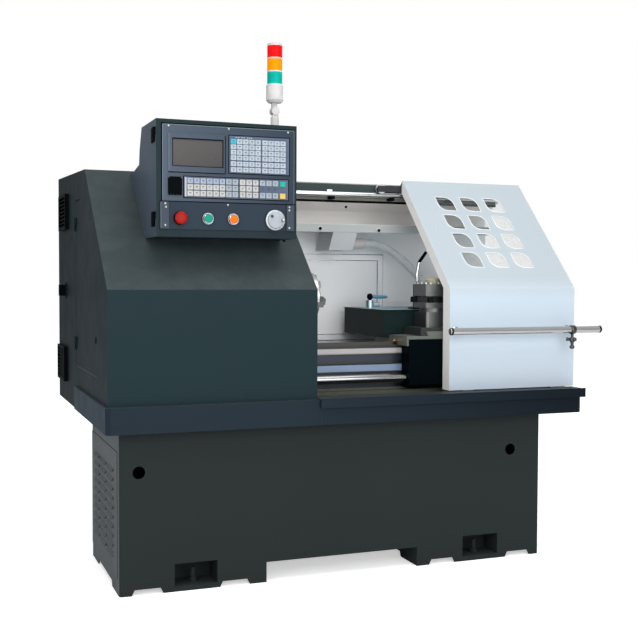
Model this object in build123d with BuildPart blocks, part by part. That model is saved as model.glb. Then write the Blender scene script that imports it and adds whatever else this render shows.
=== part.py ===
"""CNC turning lathe: stand, chip tray, flat bed, guarded headstock, carriage and sliding door.

X runs along the spindle from the headstock to the tailstock, Y from the front to the
back and Z up. The origin is at the middle of the footprint, on the floor. Millimetres.
"""
from build123d import *
import math
import os

os.makedirs("parts", exist_ok=True)

# Clearances
sheet = 2.0
seat_gap = 0.3
running_gap = 0.05
cut_over = 5.0

# Stand
stand_height = 518.0
stand_wall = 4.0
stand_top_plate = 6.0
stand_inset_left = 51.0
stand_inset_right = 132.0
stand_inset_front = 70.0
stand_depth = 539.0
left_pedestal_length = 481.0
right_pedestal_length = 489.0
stand_corner_radius = 10.0
skirt_clearance = 66.0
arch_height = 18.0
arch_length = 100.0
arch_inset = 39.0
side_arch_length = 277.0
front_hole_radius = 20.0
front_hole_height = 387.0
front_hole_inset = 62.0
pocket_length = 140.0
pocket_height = 73.0
pocket_bottom = 16.0
pocket_depth = 96.0
pocket_inset = 245.0
tank_opening_height = 380.0
vent_window_length = 420.0
vent_window_height = 320.0
vent_window_bottom = 90.0
shelf_height = 160.0
shelf_thickness = 10.0
foot_bolt_radius = 8.0
foot_bolt_height = 62.0
foot_nut_width = 24.0
foot_nut_height = 13.0
drain_radius = 30.0

# Louvred panel on the stand
vent_panel_length = 497.0
vent_panel_height = 400.0
vent_panel_bottom = 50.0
louvre_length = 98.0
louvre_pitch = 30.0
louvre_rise = 14.0
louvre_stand_off = 8.0
louvre_column_pitch = 132.0
louvre_columns = 3
louvre_rows = 10

# Chip tray and door track
tray_length = 1700.0
tray_depth = 708.0
tray_height = 82.0
tray_rim = 30.0
tray_floor_drop = 25.0
tray_corner = 14.0
track_reach = 12.0
track_wall = 3.0
track_drop = 26.0
track_lip = 6.0
track_lip_drop = 18.0

# Bed and spindle line
bed_width = 210.0
bed_setback = 185.0
bed_height = 185.0
bed_left_inset = 170.0
bed_right_inset = 31.0
way_face_height = 26.0
way_rib_height = 30.0
way_undercut = 15.0
vee_height = 12.0
vee_width = 24.0
vee_inset = 27.0
bed_pocket_width = 96.0
bed_pocket_depth = 140.0
bed_pocket_length = 190.0
bed_pocket_pitch = 235.0
bed_pocket_count = 6
centre_height = 170.0
headstock_length = 500.0
headstock_width = 240.0
headstock_wall = 22.0
bearing_outer_radius = 55.0
bearing_width = 40.0
spindle_radius = 37.0
spindle_bore_radius = 24.0
nose_radius = 65.0
nose_length = 22.0
spindle_pulley_radius = 80.0
motor_pulley_radius = 50.0
pulley_width = 45.0
pulley_flange = 3.0
belt_width = 36.0
belt_thickness = 5.0

# Chuck
chuck_radius = 82.5
chuck_length = 75.0
chuck_bore_radius = 20.0
jaw_width = 22.0
jaw_slot_depth = 12.0
jaw_inner_radius = 24.0
jaw_step_radius = 54.0
jaw_outer_radius = 76.0
jaw_reach = 30.0
jaw_step_reach = 16.0
first_jaw_angle = 200.0

# Spindle motor
motor_radius = 95.0
motor_length = 300.0
motor_setback = 330.0
motor_foot_height = 6.0
motor_shaft_radius = 19.0

# Headstock cover
cover_length = 680.0
cover_inset = 10.0
cover_setback = 25.0
cover_front_height = 357.0
cover_slope_depth = 450.0
cover_slope_rise = 406.0
cover_roof_rise = 9.0
cover_bend_radius = 6.0
nose_hole_radius = 78.0

# Belt door in the left wall of the cover
belt_door_setback = 209.0
belt_door_bottom = 72.0
belt_door_front_height = 262.0
belt_door_length = 464.0
belt_door_top_length = 97.0
belt_door_height = 598.0
belt_door_recess = 1.5
belt_door_gap = 1.5
hinge_knuckle_radius = 3.0
hinge_knuckle_length = 24.0

# Electrical cabinet
cabinet_gap = 4.0
cabinet_depth = 485.0
cabinet_drop = 86.0
cabinet_roof_rise = 18.0
cabinet_frame = 24.0
grille_length = 200.0
grille_height = 134.0
grille_depth = 14.0
grille_slats = 8
switch_base = 60.0
switch_size = 48.0
switch_base_thickness = 4.0
switch_knob_height = 22.0
latch_height = 6.0

# Control box and its front panel
box_left_inset = 153.0
box_length = 458.0
box_setback = 54.0
box_bottom = 522.0
box_height = 362.0
box_top_depth = 209.0
pan_depth = 14.0
box_wall = 3.0
frame_margin = 19.0
frame_bottom = 108.0
frame_top_margin = 16.0
frame_proud = 2.0
screen_length = 160.0
screen_height = 82.0
screen_left_inset = 51.0
screen_bottom = 219.0
bezel_border = 13.0
bezel_top_border = 20.0
keypad_proud = 2.0
key_proud = 3.0
mdi_left_inset = 232.0
mdi_length = 199.0
mdi_bottom = 203.0
mdi_height = 117.0
operator_left_inset = 87.0
operator_length = 341.0
operator_bottom = 123.0
operator_height = 64.0
port_length = 44.0
port_height = 53.0
port_left_inset = 36.0
port_bottom = 128.0
port_thickness = 5.0
plate_inset = 12.0
plate_bottom = 24.0
plate_height = 84.0
plate_thickness = 3.0
button_height = 58.0
stop_inset = 74.0
start_inset = 162.0
hold_inset = 244.0
dial_inset = 383.0
stem_radius = 8.0
button_travel = 4.0
dial_radius = 31.0

# Signal lamp
lamp_right_inset = 38.0
lamp_setback = 150.0
lamp_tube_radius = 13.5
lamp_pivot_rise = 62.0
lamp_disc_radius = 14.0
lamp_disc_width = 14.0
lamp_base_radius = 28.5
lens_radius = 25.5
lens_height = 39.0
lens_gap = 4.0
lamp_core_radius = 8.0
lamp_cap_height = 10.0

# Back wall, roof beam and rail
wall_setback = 700.0
wall_height = 662.0
roof_front_setback = 497.0
roof_rise = 90.0
shelf_reach = 190.0
shelf_top = 600.0
shelf_lip = 32.0
shelf_right_inset = 70.0
duct_left = 248.0
duct_length = 98.0
duct_height = 66.0
collar_radius = 22.0
collar_length = 14.0
access_right = 537.0
access_length = 400.0
access_top = 489.0
access_height = 340.0
access_border = 22.0
access_proud = 6.0
beam_width = 25.0
beam_height = 38.0
rail_radius = 10.0
rail_setback = 480.0
rail_height = 709.0
rail_left_reach = 100.0
rail_support_pitch = 244.0
rail_support_count = 4
conduit_radius = 17.0

# Carriage
carriage_inset = 1205.0
saddle_length = 288.0
saddle_overhang = 59.0
saddle_thickness = 34.0
dovetail_width = 121.0
dovetail_height = 16.0
dovetail_undercut = 9.0
slide_width = 175.0
slide_thickness = 28.0
slide_front = 130.0
slide_length = 475.0
x_screw_radius = 7.0
x_screw_drop = 9.0
x_motor_size = 46.0
x_motor_length = 90.0
apron_length = 256.0
apron_depth = 60.0
apron_height = 148.0
z_screw_radius = 16.0
z_screw_setback = 151.0
z_screw_height = 49.0
z_bearing_length = 45.0
z_end_block = 30.0
z_motor_plate = 10.0
z_motor_size = 90.0
z_motor_length = 130.0
guard_length = 315.0
guard_front = 268.0
guard_depth = 372.0
guard_height = 100.0
guard_lid_overhang = 6.0

# Turret and tools
turret_size = 105.0
turret_setback = 212.0
turret_base_height = 68.0
turret_height = 85.0
turret_cap_radius = 30.0
turret_cap_height = 22.0
tool_size = 20.0
tool_slot_depth = 22.0
tool_overhang = 13.0

# Coolant fittings
nozzle_radius = 6.0
valve_radius = 16.0
valve_height = 30.0
lever_length = 85.0
lever_thickness = 8.0

# Tailstock
tailstock_length = 170.0
tailstock_right_inset = 25.0
tailstock_barrel_radius = 46.0
quill_radius = 22.5
quill_reach = 55.0
wheel_radius = 70.0
wheel_rim_radius = 8.0

# Sliding door
door_length = 510.0
door_overrun = 8.0
door_setback = 69.0
door_front_height = 357.0
door_slope_depth = 390.0
door_slope_rise = 403.0
door_flange = 50.0
door_lift = 6.0
door_bend_radius = 8.0
window_width = 68.0
window_height = 75.0
window_pitch_x = 103.0
window_pitch = 99.0
window_first = 102.0
window_inset = 107.0
window_columns = 3
window_rows = 4
window_round = 34.0
pane_thickness = 4.0
pane_margin = 12.0
hanger_length = 115.0
hanger_thickness = 4.0
hanger_left_reach = 98.0
roller_radius = 18.0
roller_width = 18.0
axle_radius = 5.0
bar_radius = 12.5
bar_setback = 7.0
bar_height = 215.0
bar_left_reach = 33.0
bar_overrun = 79.0
standoff_radius = 8.0
standoff_inset_left = 22.0
standoff_inset_right = 33.0

# Places worked out from the sizes above
switch_overrun = switch_base_thickness + seat_gap + switch_knob_height - cover_inset
tray_left = -(tray_length + bar_overrun - switch_overrun) / 2
tray_right = tray_left + tray_length
latch_reach = sheet + latch_height
tray_front = (track_reach - tray_depth - cabinet_gap - cabinet_depth - latch_reach) / 2
tray_back = tray_front + tray_depth
tray_bottom = stand_height
tray_top = tray_bottom + tray_height
tray_floor = tray_top - tray_floor_drop
stand_left = tray_left + stand_inset_left
stand_right = tray_right - stand_inset_right
stand_front = tray_front + stand_inset_front
stand_back = stand_front + stand_depth
left_pedestal_right = stand_left + left_pedestal_length
right_pedestal_left = stand_right - right_pedestal_length
bed_left = tray_left + bed_left_inset
bed_right = tray_right - bed_right_inset
bed_front = tray_front + bed_setback
bed_back = bed_front + bed_width
bed_top = tray_floor + bed_height
axis_y = bed_front + bed_width / 2
axis_z = bed_top + centre_height
cover_left = tray_left + cover_inset
cover_right = cover_left + cover_length
cover_front = tray_front + cover_setback
cover_knee = tray_top + cover_front_height
cover_crest_y = cover_front + cover_slope_depth
cover_crest_z = cover_knee + cover_slope_rise
cover_back = tray_back + cabinet_gap
cover_back_z = cover_crest_z + cover_roof_rise
headstock_left = bed_left
headstock_right = headstock_left + headstock_length
chuck_left = cover_right + 6.0
chuck_right = chuck_left + chuck_length
spindle_left = headstock_left - pulley_width - 15.0
pulley_left = spindle_left
belt_left = pulley_left + (pulley_width - belt_width) / 2
motor_y = tray_front + motor_setback
motor_z = shelf_height + shelf_thickness + motor_foot_height + motor_radius
motor_left = headstock_left + 30.0
wall_y = tray_front + wall_setback
cabinet_front = cover_back
cabinet_back = cabinet_front + cabinet_depth
cabinet_bottom = tray_top - cabinet_drop
saddle_x = tray_left + carriage_inset
turret_y = tray_front + turret_setback
slide_top = bed_top + saddle_thickness + seat_gap + slide_thickness
guard_top = slide_top + 60.0
rail_y = tray_front + rail_setback
rail_z = tray_top + rail_height
door_right = tray_right + door_overrun
door_left = door_right - door_length
door_front = tray_front + door_setback
door_bottom = tray_top + door_lift
door_knee = door_bottom + door_front_height
door_crest_y = door_front + door_slope_depth
door_crest_z = door_knee + door_slope_rise
z_screw_y = tray_front + z_screw_setback
z_screw_z = tray_top + z_screw_height
roller_z = rail_z + rail_radius + roller_radius - 3.0
box_left = cover_left + box_left_inset
box_right = box_left + box_length
box_front = tray_front + box_setback
box_z = tray_top + box_bottom
box_top = box_z + box_height
pan_front = box_front - pan_depth
along_x = (1, 0, 0)
along_y = (0, 1, 0)
along_z = (0, 0, 1)


def block(x0, x1, y0, y1, z0, z1, mode=Mode.ADD):
    """Adds or cuts a cuboid between two corners."""
    with Locations(((x0 + x1) / 2, (y0 + y1) / 2, (z0 + z1) / 2)):
        Box(x1 - x0, y1 - y0, z1 - z0, mode=mode)


def rod(start, along, length, radius, mode=Mode.ADD):
    """Adds or cuts a round bar that starts at a point."""
    with Locations(Plane(origin=start, z_dir=along)):
        Cylinder(radius, length, align=(Align.CENTER, Align.CENTER, Align.MIN), mode=mode)


def outline(points, plane):
    """A closed outline on a plane."""
    with BuildSketch(plane) as face:
        with BuildLine():
            Polyline(*points, close=True)
        make_face()
    return face.sketch


def side_outline(points, x):
    """A closed outline of Y and Z points, at one X, that extrudes towards +X."""
    return outline(points, Plane.YZ.offset(x))


def front_outline(points, y):
    """A closed outline of X and Z points, at one Y, that extrudes towards -Y."""
    return outline(points, Plane.XZ.offset(-y))


def plan_outline(points, z):
    """A closed outline of X and Y points, at one height."""
    return outline(points, Plane.XY.offset(z))


def folded(points, radius, wall, x, side=Side.RIGHT):
    """The section of a sheet that is folded along Y and Z points."""
    with BuildSketch(Plane.YZ.offset(x)) as section:
        with BuildLine():
            FilletPolyline(*points, radius=radius)
            offset(amount=wall, side=side)
        make_face()
    return section.sketch


def turned(points, origin, along, mode=Mode.ADD):
    """Turns an outline of distance and radius points about an axis."""
    radial = Vector(1, 0, 0) if along == along_z else Vector(0, 0, 1)
    plane = Plane(origin=origin, x_dir=along, z_dir=Vector(*along).cross(radial))
    revolve(outline(points, plane), axis=Axis(origin, along), mode=mode)


# Stand: two hollow pedestals and a bridging skirt under one top plate
arch_side = arch_height / 2
pocket_centres = (stand_left + pocket_inset, stand_right - pocket_inset + 4.0)
pocket_top = pocket_bottom + pocket_height
alcove_wall = 3.0


def arch(centre, length):
    """The outline of a shallow arch under a foot."""
    half = length / 2
    return ((centre - half, 0), (centre - half + arch_side, arch_height),
            (centre + half - arch_side, arch_height), (centre + half, 0))


with BuildPart() as stand:
    with BuildSketch() as plan:
        with Locations(((stand_left + stand_right) / 2, (stand_front + stand_back) / 2)):
            RectangleRounded(stand_right - stand_left, stand_depth, stand_corner_radius)
    extrude(amount=stand_height)
    inner_front = stand_front + stand_wall
    inner_back = stand_back - stand_wall
    ceiling = stand_height - stand_top_plate
    bays = ((stand_left + stand_wall, left_pedestal_right - stand_wall),
            (left_pedestal_right, right_pedestal_left),
            (right_pedestal_left + stand_wall, stand_right - stand_wall))
    for bay_left, bay_right in bays:
        block(bay_left, bay_right, inner_front, inner_back, -cut_over, ceiling, Mode.SUBTRACT)
    block(left_pedestal_right, right_pedestal_left, stand_front - cut_over, stand_back + cut_over,
          -cut_over, skirt_clearance, Mode.SUBTRACT)
    block(left_pedestal_right + stand_wall, right_pedestal_left - stand_wall, inner_back - cut_over,
          stand_back + cut_over, 0, tank_opening_height, Mode.SUBTRACT)
    arch_centres = (stand_left + arch_inset + arch_length / 2,
                    left_pedestal_right - arch_inset - arch_length / 2 - 18.0,
                    right_pedestal_left + arch_inset + arch_length / 2 + 8.0,
                    stand_right - arch_inset - arch_length / 2)
    for centre in arch_centres:
        extrude(front_outline(arch(centre, arch_length), stand_back + cut_over),
                amount=stand_depth + 2 * cut_over, mode=Mode.SUBTRACT)
    stand_middle = (stand_front + stand_back) / 2
    extrude(side_outline(arch(stand_middle, side_arch_length), stand_left - cut_over),
            amount=stand_right - stand_left + 2 * cut_over, mode=Mode.SUBTRACT)
    for x in (stand_left + front_hole_inset, stand_right - 2 * front_hole_inset + 2.0):
        rod((x, stand_front - cut_over, front_hole_height), along_y, stand_wall + 2 * cut_over,
            front_hole_radius, Mode.SUBTRACT)
    block(stand_left - cut_over, stand_left + stand_wall + 1.0, stand_middle - vent_window_length / 2,
          stand_middle + vent_window_length / 2, vent_window_bottom,
          vent_window_bottom + vent_window_height, Mode.SUBTRACT)
    # Motor shelf, open behind for the cables
    block(stand_left + stand_wall, left_pedestal_right - stand_wall, inner_front, inner_back,
          shelf_height, shelf_height + shelf_thickness)
    # Alcoves round the levelling bolts, front and back
    for centre in pocket_centres:
        for face_y, inward in ((stand_front, 1), (stand_back, -1)):
            near = face_y + inward * stand_wall
            far = face_y + inward * (pocket_depth + alcove_wall)
            block(centre - pocket_length / 2 - alcove_wall, centre + pocket_length / 2 + alcove_wall,
                  min(near, far), max(near, far), pocket_bottom - alcove_wall, pocket_top + alcove_wall)
            mouth = face_y - inward * cut_over
            end = face_y + inward * pocket_depth
            block(centre - pocket_length / 2, centre + pocket_length / 2, min(mouth, end),
                  max(mouth, end), pocket_bottom, pocket_top, Mode.SUBTRACT)
            rod((centre, face_y + inward * pocket_depth / 2, 0), along_z, pocket_bottom,
                foot_bolt_radius + 0.5, Mode.SUBTRACT)
    # Slot for the belt and hole for the coolant
    block(pulley_left - 6.0, pulley_left + pulley_width + 6.0, axis_y - spindle_pulley_radius - 20.0,
          axis_y + spindle_pulley_radius + 20.0, ceiling - cut_over, stand_height + cut_over,
          Mode.SUBTRACT)
    drain_x = (left_pedestal_right + right_pedestal_left) / 2
    drain_y = bed_back + 80.0
    rod((drain_x, drain_y, ceiling - cut_over), along_z, stand_top_plate + 2 * cut_over, drain_radius,
        Mode.SUBTRACT)
    # Levelling bolts with their nuts
    for centre in pocket_centres:
        for bolt_y in (stand_front + pocket_depth / 2, stand_back - pocket_depth / 2):
            rod((centre, bolt_y, 0), along_z, foot_bolt_height, foot_bolt_radius)
            with BuildSketch(Plane.XY.offset(pocket_bottom)) as nut:
                with Locations((centre, bolt_y)):
                    RegularPolygon(foot_nut_width / 2, 6, major_radius=False)
            extrude(amount=foot_nut_height)
stand.part.label = "stand"
export_step(stand.part, "parts/stand.step")

# Louvred panel over the vent window in the left side of the stand
with BuildPart() as stand_vent_panel:
    panel_face = stand_left - sheet
    panel_front = stand_middle + 9.0 - vent_panel_length / 2
    block(panel_face, stand_left, panel_front, panel_front + vent_panel_length, vent_panel_bottom,
          vent_panel_bottom + vent_panel_height)
    louvre_top = vent_panel_bottom + vent_panel_height - 58.0
    for column in range(louvre_columns):
        louvre_front = (stand_middle + (column - (louvre_columns - 1) / 2) * louvre_column_pitch
                        - louvre_length / 2)
        for row in range(louvre_rows):
            top = louvre_top - row * louvre_pitch
            block(panel_face - 1.0, stand_left + 1.0, louvre_front + 2.0, louvre_front + louvre_length - 2.0,
                  top - louvre_rise, top - 3.0, Mode.SUBTRACT)
            hood = ((panel_face + 1.0, top), (panel_face - louvre_stand_off, top - louvre_rise),
                    (panel_face - louvre_stand_off + sheet, top - louvre_rise), (panel_face + 1.0, top - 3.0))
            extrude(front_outline(hood, louvre_front + louvre_length), amount=louvre_length)
stand_vent_panel.part.label = "stand_vent_panel"
export_step(stand_vent_panel.part, "parts/stand_vent_panel.step")

# Coolant tank that slides under the middle bay, with its pump on the lid
tank_wall = 3.0
tank_side_gap = 20.0
tank_height = 290.0
pump_radius = 55.0
pump_height = 130.0
with BuildPart() as coolant_tank:
    tank_left = left_pedestal_right + tank_side_gap
    tank_right = right_pedestal_left - tank_side_gap
    tank_front = stand_front + pocket_depth
    tank_back = stand_back - 20.0
    with BuildSketch() as plan:
        with Locations(((tank_left + tank_right) / 2, (tank_front + tank_back) / 2)):
            RectangleRounded(tank_right - tank_left, tank_back - tank_front, 12.0)
    extrude(amount=tank_height)
    lid_left = tank_right - 200.0
    offset(amount=-tank_wall, openings=coolant_tank.faces().sort_by(Axis.Z)[-1])
    block(lid_left, tank_right, tank_front, tank_back, tank_height, tank_height + tank_wall)
    pump_x = tank_right - 100.0
    pump_y = tank_back - 100.0
    rod((pump_x, pump_y, tank_height + tank_wall), along_z, pump_height, pump_radius)
    rod((pump_x, pump_y, tank_height + tank_wall + pump_height), along_z, 8.0, pump_radius - 8.0)
    rod((pump_x, pump_y, tank_wall + 20.0), along_z, tank_height - 20.0, 28.0)
coolant_tank.part.label = "coolant_tank"
export_step(coolant_tank.part, "parts/coolant_tank.step")

# Chip tray: a rimmed pan with a solid plinth under the bed
with BuildPart() as chip_tray:
    with BuildSketch(Plane.XY.offset(tray_bottom)) as plan:
        with Locations(((tray_left + tray_right) / 2, (tray_front + tray_back) / 2)):
            Rectangle(tray_length, tray_depth)
        chamfer(plan.vertices(), tray_corner)
    extrude(amount=tray_height)
    block(tray_left + tray_rim, tray_right - tray_rim, tray_front + tray_rim, tray_back - tray_rim,
          tray_floor, tray_top + cut_over, Mode.SUBTRACT)
    floor_plate = 5.0
    plinth_margin = 15.0
    for y0, y1 in ((tray_front + tray_rim, bed_front - plinth_margin),
                   (bed_back + plinth_margin, tray_back - tray_rim)):
        block(tray_left + tray_rim, tray_right - tray_rim, y0, y1, tray_bottom - cut_over,
              tray_floor - floor_plate, Mode.SUBTRACT)
    block(pulley_left - 6.0, pulley_left + pulley_width + 6.0, axis_y - spindle_pulley_radius - 20.0,
          axis_y + spindle_pulley_radius + 20.0, tray_bottom - cut_over, tray_top + cut_over,
          Mode.SUBTRACT)
    rod((drain_x, drain_y, tray_bottom - cut_over), along_z, tray_height, drain_radius, Mode.SUBTRACT)
chip_tray.part.label = "chip_tray"
export_step(chip_tray.part, "parts/chip_tray.step")

# Door track on the front rim of the tray
track_front = tray_front - track_reach
track_back = door_front + sheet + track_lip
with BuildPart() as door_track:
    section = ((track_front, tray_top - track_drop), (track_front, tray_top + 2 * track_wall),
               (track_front + track_wall, tray_top + 2 * track_wall),
               (track_front + track_wall, tray_top + track_wall), (track_back, tray_top + track_wall),
               (track_back, tray_top + track_wall - track_lip_drop),
               (track_back - track_wall, tray_top + track_wall - track_lip_drop),
               (track_back - track_wall, tray_top), (track_front + track_wall, tray_top),
               (track_front + track_wall, tray_top - track_drop))
    extrude(side_outline(section, cover_right + 0.5), amount=tray_right + 5.0 - cover_right - 0.5)
    block(tray_right - tray_rim - 1.0, tray_right + cut_over, track_back - track_wall - 1.0, track_back + 1.0,
          tray_top - track_lip_drop, tray_top, Mode.SUBTRACT)
door_track.part.label = "door_track"
export_step(door_track.part, "parts/door_track.step")

# Bed casting with a front vee way, a flat rear way and ribbed pockets between them
vee_y = bed_front + vee_inset
foot_flange = 7.0
foot_height = 28.0
with BuildPart() as bed:
    def bed_side(face, out):
        """One side of the bed section, from the foot up to the way."""
        return [(face + out * foot_flange, tray_floor), (face + out * foot_flange, tray_floor + foot_height),
                (face - out * way_undercut, tray_floor + foot_height + 4.0),
                (face - out * way_undercut, bed_top - 97.0), (face - out * 2.0, bed_top - 97.0),
                (face - out * 2.0, bed_top - 97.0 + way_rib_height),
                (face - out * way_undercut, bed_top - 63.0),
                (face - out * way_undercut, bed_top - way_face_height), (face, bed_top - way_face_height),
                (face, bed_top)]
    vee = [(vee_y - vee_width / 2, bed_top), (vee_y, bed_top + vee_height), (vee_y + vee_width / 2, bed_top)]
    section = bed_side(bed_front, -1) + vee + bed_side(bed_back, 1)[::-1]
    extrude(side_outline(section, bed_left), amount=bed_right - bed_left)
    with BuildSketch(Plane.XY.offset(bed_top)) as pockets:
        with Locations(((bed_left + bed_right) / 2, axis_y + 4.0)):
            with GridLocations(bed_pocket_pitch, 1.0, bed_pocket_count, 1):
                RectangleRounded(bed_pocket_length, bed_pocket_width, 12.0)
    extrude(amount=-bed_pocket_depth, mode=Mode.SUBTRACT)
bed.part.label = "bed"
export_step(bed.part, "parts/bed.step")

# Headstock casting, bored for the two spindle bearings
with BuildPart() as headstock:
    half = headstock_width / 2
    crown = axis_z + half
    section = ((bed_front, bed_top + vee_height + 3.0), (axis_y - half, bed_top + 50.0),
               (axis_y - half, crown - 40.0),
               (axis_y - half + 40.0, crown), (axis_y + half - 40.0, crown), (axis_y + half, crown - 40.0),
               (axis_y + half, bed_top + 50.0), (bed_back, bed_top + vee_height + 3.0))
    extrude(side_outline(section, headstock_left), amount=headstock_length)
    block(headstock_left, headstock_right, vee_y + vee_width, bed_back, bed_top, bed_top + vee_height + 3.0)
    inner = ((bed_front + headstock_wall, bed_top + 50.0), (axis_y - half + headstock_wall, bed_top + 70.0),
             (axis_y - half + headstock_wall, crown - 55.0), (axis_y - half + 55.0, crown - headstock_wall),
             (axis_y + half - 55.0, crown - headstock_wall), (axis_y + half - headstock_wall, crown - 55.0),
             (axis_y + half - headstock_wall, bed_top + 70.0), (bed_back - headstock_wall, bed_top + 50.0))
    end_wall = bearing_width + 12.0
    extrude(side_outline(inner, headstock_left + end_wall), amount=headstock_length - 2 * end_wall,
            mode=Mode.SUBTRACT)
    rod((headstock_left - cut_over, axis_y, axis_z), along_x, headstock_length + 2 * cut_over,
        spindle_radius + 3.0, Mode.SUBTRACT)
    for x in (headstock_left, headstock_right - bearing_width):
        rod((x, axis_y, axis_z), along_x, bearing_width, bearing_outer_radius, Mode.SUBTRACT)
headstock.part.label = "headstock"
export_step(headstock.part, "parts/headstock.step")

# Spindle bearings, one in each end wall
with BuildPart() as spindle_bearings:
    for x in (headstock_left, headstock_right - bearing_width):
        ring = ((0, spindle_radius + running_gap), (0, bearing_outer_radius - running_gap),
                (bearing_width, bearing_outer_radius - running_gap),
                (bearing_width, spindle_radius + running_gap))
        turned(ring, (x, axis_y, axis_z), along_x)
spindle_bearings.part.label = "spindle_bearings"
export_step(spindle_bearings.part, "parts/spindle_bearings.step")

# Hollow spindle with its nose flange, and the driven pulley keyed to its tail
nose_left = chuck_left - nose_length
spindle_length = chuck_left - spindle_left
pulley_hub = 32.0
with BuildPart() as spindle:
    nose = nose_left - spindle_left
    shaft = ((0, spindle_bore_radius), (0, pulley_hub), (pulley_width + 8.0, pulley_hub),
             (pulley_width + 8.0, spindle_radius), (nose, spindle_radius), (nose, nose_radius),
             (spindle_length, nose_radius), (spindle_length, spindle_bore_radius))
    turned(shaft, (spindle_left, axis_y, axis_z), along_x)
    flange = spindle_pulley_radius + pulley_flange
    pulley = ((0, pulley_hub), (0, flange), (pulley_flange, flange), (pulley_flange, spindle_pulley_radius),
              (pulley_width - pulley_flange, spindle_pulley_radius), (pulley_width - pulley_flange, flange),
              (pulley_width, flange), (pulley_width, pulley_hub))
    turned(pulley, (pulley_left, axis_y, axis_z), along_x)
    with Locations(Plane(origin=(pulley_left - 1.0, axis_y, axis_z), z_dir=along_x)):
        with PolarLocations(56.0, 5):
            Cylinder(14.0, pulley_width + 2.0, align=(Align.CENTER, Align.CENTER, Align.MIN),
                     mode=Mode.SUBTRACT)
spindle.part.label = "spindle"
export_step(spindle.part, "parts/spindle.step")

# Three-jaw chuck body, its radial slots open at the face and the rim
jaw_angles = [first_jaw_angle + 120.0 * number for number in range(3)]


def jaw_plane(angle):
    """A plane through the chuck face: local X is radial, local Y is across the jaw."""
    turn = math.radians(angle)
    return Plane(origin=(chuck_right, axis_y, axis_z), x_dir=(0, math.cos(turn), math.sin(turn)),
                 z_dir=along_x)


with BuildPart() as chuck_body:
    body = ((0, chuck_bore_radius), (0, chuck_radius - 8.0), (8.0, chuck_radius),
            (chuck_length - 4.0, chuck_radius),
            (chuck_length, chuck_radius - 4.0), (chuck_length, chuck_bore_radius))
    turned(body, (chuck_left, axis_y, axis_z), along_x)
    for angle in jaw_angles:
        with BuildSketch(jaw_plane(angle)) as slot:
            with Locations((chuck_radius / 2 + 6.0, 0)):
                Rectangle(chuck_radius + cut_over, jaw_width)
        extrude(slot.sketch, amount=-jaw_slot_depth, mode=Mode.SUBTRACT)
        key_turn = math.radians(angle + 60.0)
        key_at = (chuck_left + chuck_length / 2, axis_y + chuck_radius * math.cos(key_turn),
                  axis_z + chuck_radius * math.sin(key_turn))
        rod(key_at, (0, -math.cos(key_turn), -math.sin(key_turn)), 14.0, 9.0, Mode.SUBTRACT)
chuck_body.part.label = "chuck_body"
export_step(chuck_body.part, "parts/chuck_body.step")

# Stepped jaws, in radial slots of the chuck
for number, angle in enumerate(jaw_angles, start=1):
    with BuildPart() as jaw:
        turn = math.radians(angle)
        side = Plane(origin=(chuck_right, axis_y, axis_z), x_dir=(0, math.cos(turn), math.sin(turn)),
                     z_dir=(0, math.sin(turn), -math.cos(turn)))
        steps = ((jaw_inner_radius, -jaw_slot_depth + seat_gap),
                 (jaw_outer_radius, -jaw_slot_depth + seat_gap),
                 (jaw_outer_radius, jaw_step_reach), (jaw_step_radius, jaw_step_reach),
                 (jaw_step_radius, jaw_reach), (jaw_inner_radius + 6.0, jaw_reach),
                 (jaw_inner_radius, jaw_reach - 6.0))
        with BuildSketch(side) as step_outline:
            with BuildLine():
                Polyline(*steps, close=True)
            make_face()
        extrude(amount=(jaw_width - 2 * seat_gap) / 2, both=True)
    jaw.part.label = f"jaw_{number}"
    export_step(jaw.part, f"parts/jaw_{number}.step")

# Spindle motor on the shelf of the left pedestal
with BuildPart() as spindle_motor:
    barrel = ((0, motor_shaft_radius + running_gap), (0, motor_radius - 10.0), (12.0, motor_radius),
              (motor_length - 30.0, motor_radius), (motor_length - 30.0, motor_radius - 12.0),
              (motor_length, motor_radius - 20.0), (motor_length, 0), (70.0, 0),
              (70.0, motor_shaft_radius + running_gap))
    turned(barrel, (motor_left, motor_y, motor_z), along_x)
    foot = ((motor_y - motor_radius, shelf_height + shelf_thickness),
            (motor_y + motor_radius, shelf_height + shelf_thickness),
            (motor_y + motor_radius, shelf_height + shelf_thickness + 12.0),
            (motor_y + 50.0, motor_z - motor_radius + 34.0), (motor_y - 50.0, motor_z - motor_radius + 34.0),
            (motor_y - motor_radius, shelf_height + shelf_thickness + 12.0))
    extrude(side_outline(foot, motor_left + 40.0), amount=motor_length - 90.0)
    block(motor_left + 90.0, motor_left + 190.0, motor_y - 45.0, motor_y + 45.0,
          motor_z + motor_radius - 12.0,
          motor_z + motor_radius + 38.0)
spindle_motor.part.label = "spindle_motor"
export_step(spindle_motor.part, "parts/spindle_motor.step")

with BuildPart() as motor_pulley:
    flange = motor_pulley_radius + pulley_flange
    shaft_end = motor_left + 65.0 - pulley_left
    profile = ((0, 0), (0, flange), (pulley_flange, flange), (pulley_flange, motor_pulley_radius),
               (pulley_width - pulley_flange, motor_pulley_radius), (pulley_width - pulley_flange, flange),
               (pulley_width, flange), (pulley_width, motor_shaft_radius), (shaft_end, motor_shaft_radius),
               (shaft_end, 0))
    turned(profile, (pulley_left, motor_y, motor_z), along_x)
motor_pulley.part.label = "motor_pulley"
export_step(motor_pulley.part, "parts/motor_pulley.step")


def belt_loop(extra):
    """The hull of both pulley rims, grown by a distance."""
    with BuildSketch(Plane.YZ.offset(belt_left)) as loop:
        with Locations((axis_y, axis_z)):
            Circle(spindle_pulley_radius + extra)
        with Locations((motor_y, motor_z)):
            Circle(motor_pulley_radius + extra)
        make_hull()
    return loop.sketch


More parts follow.
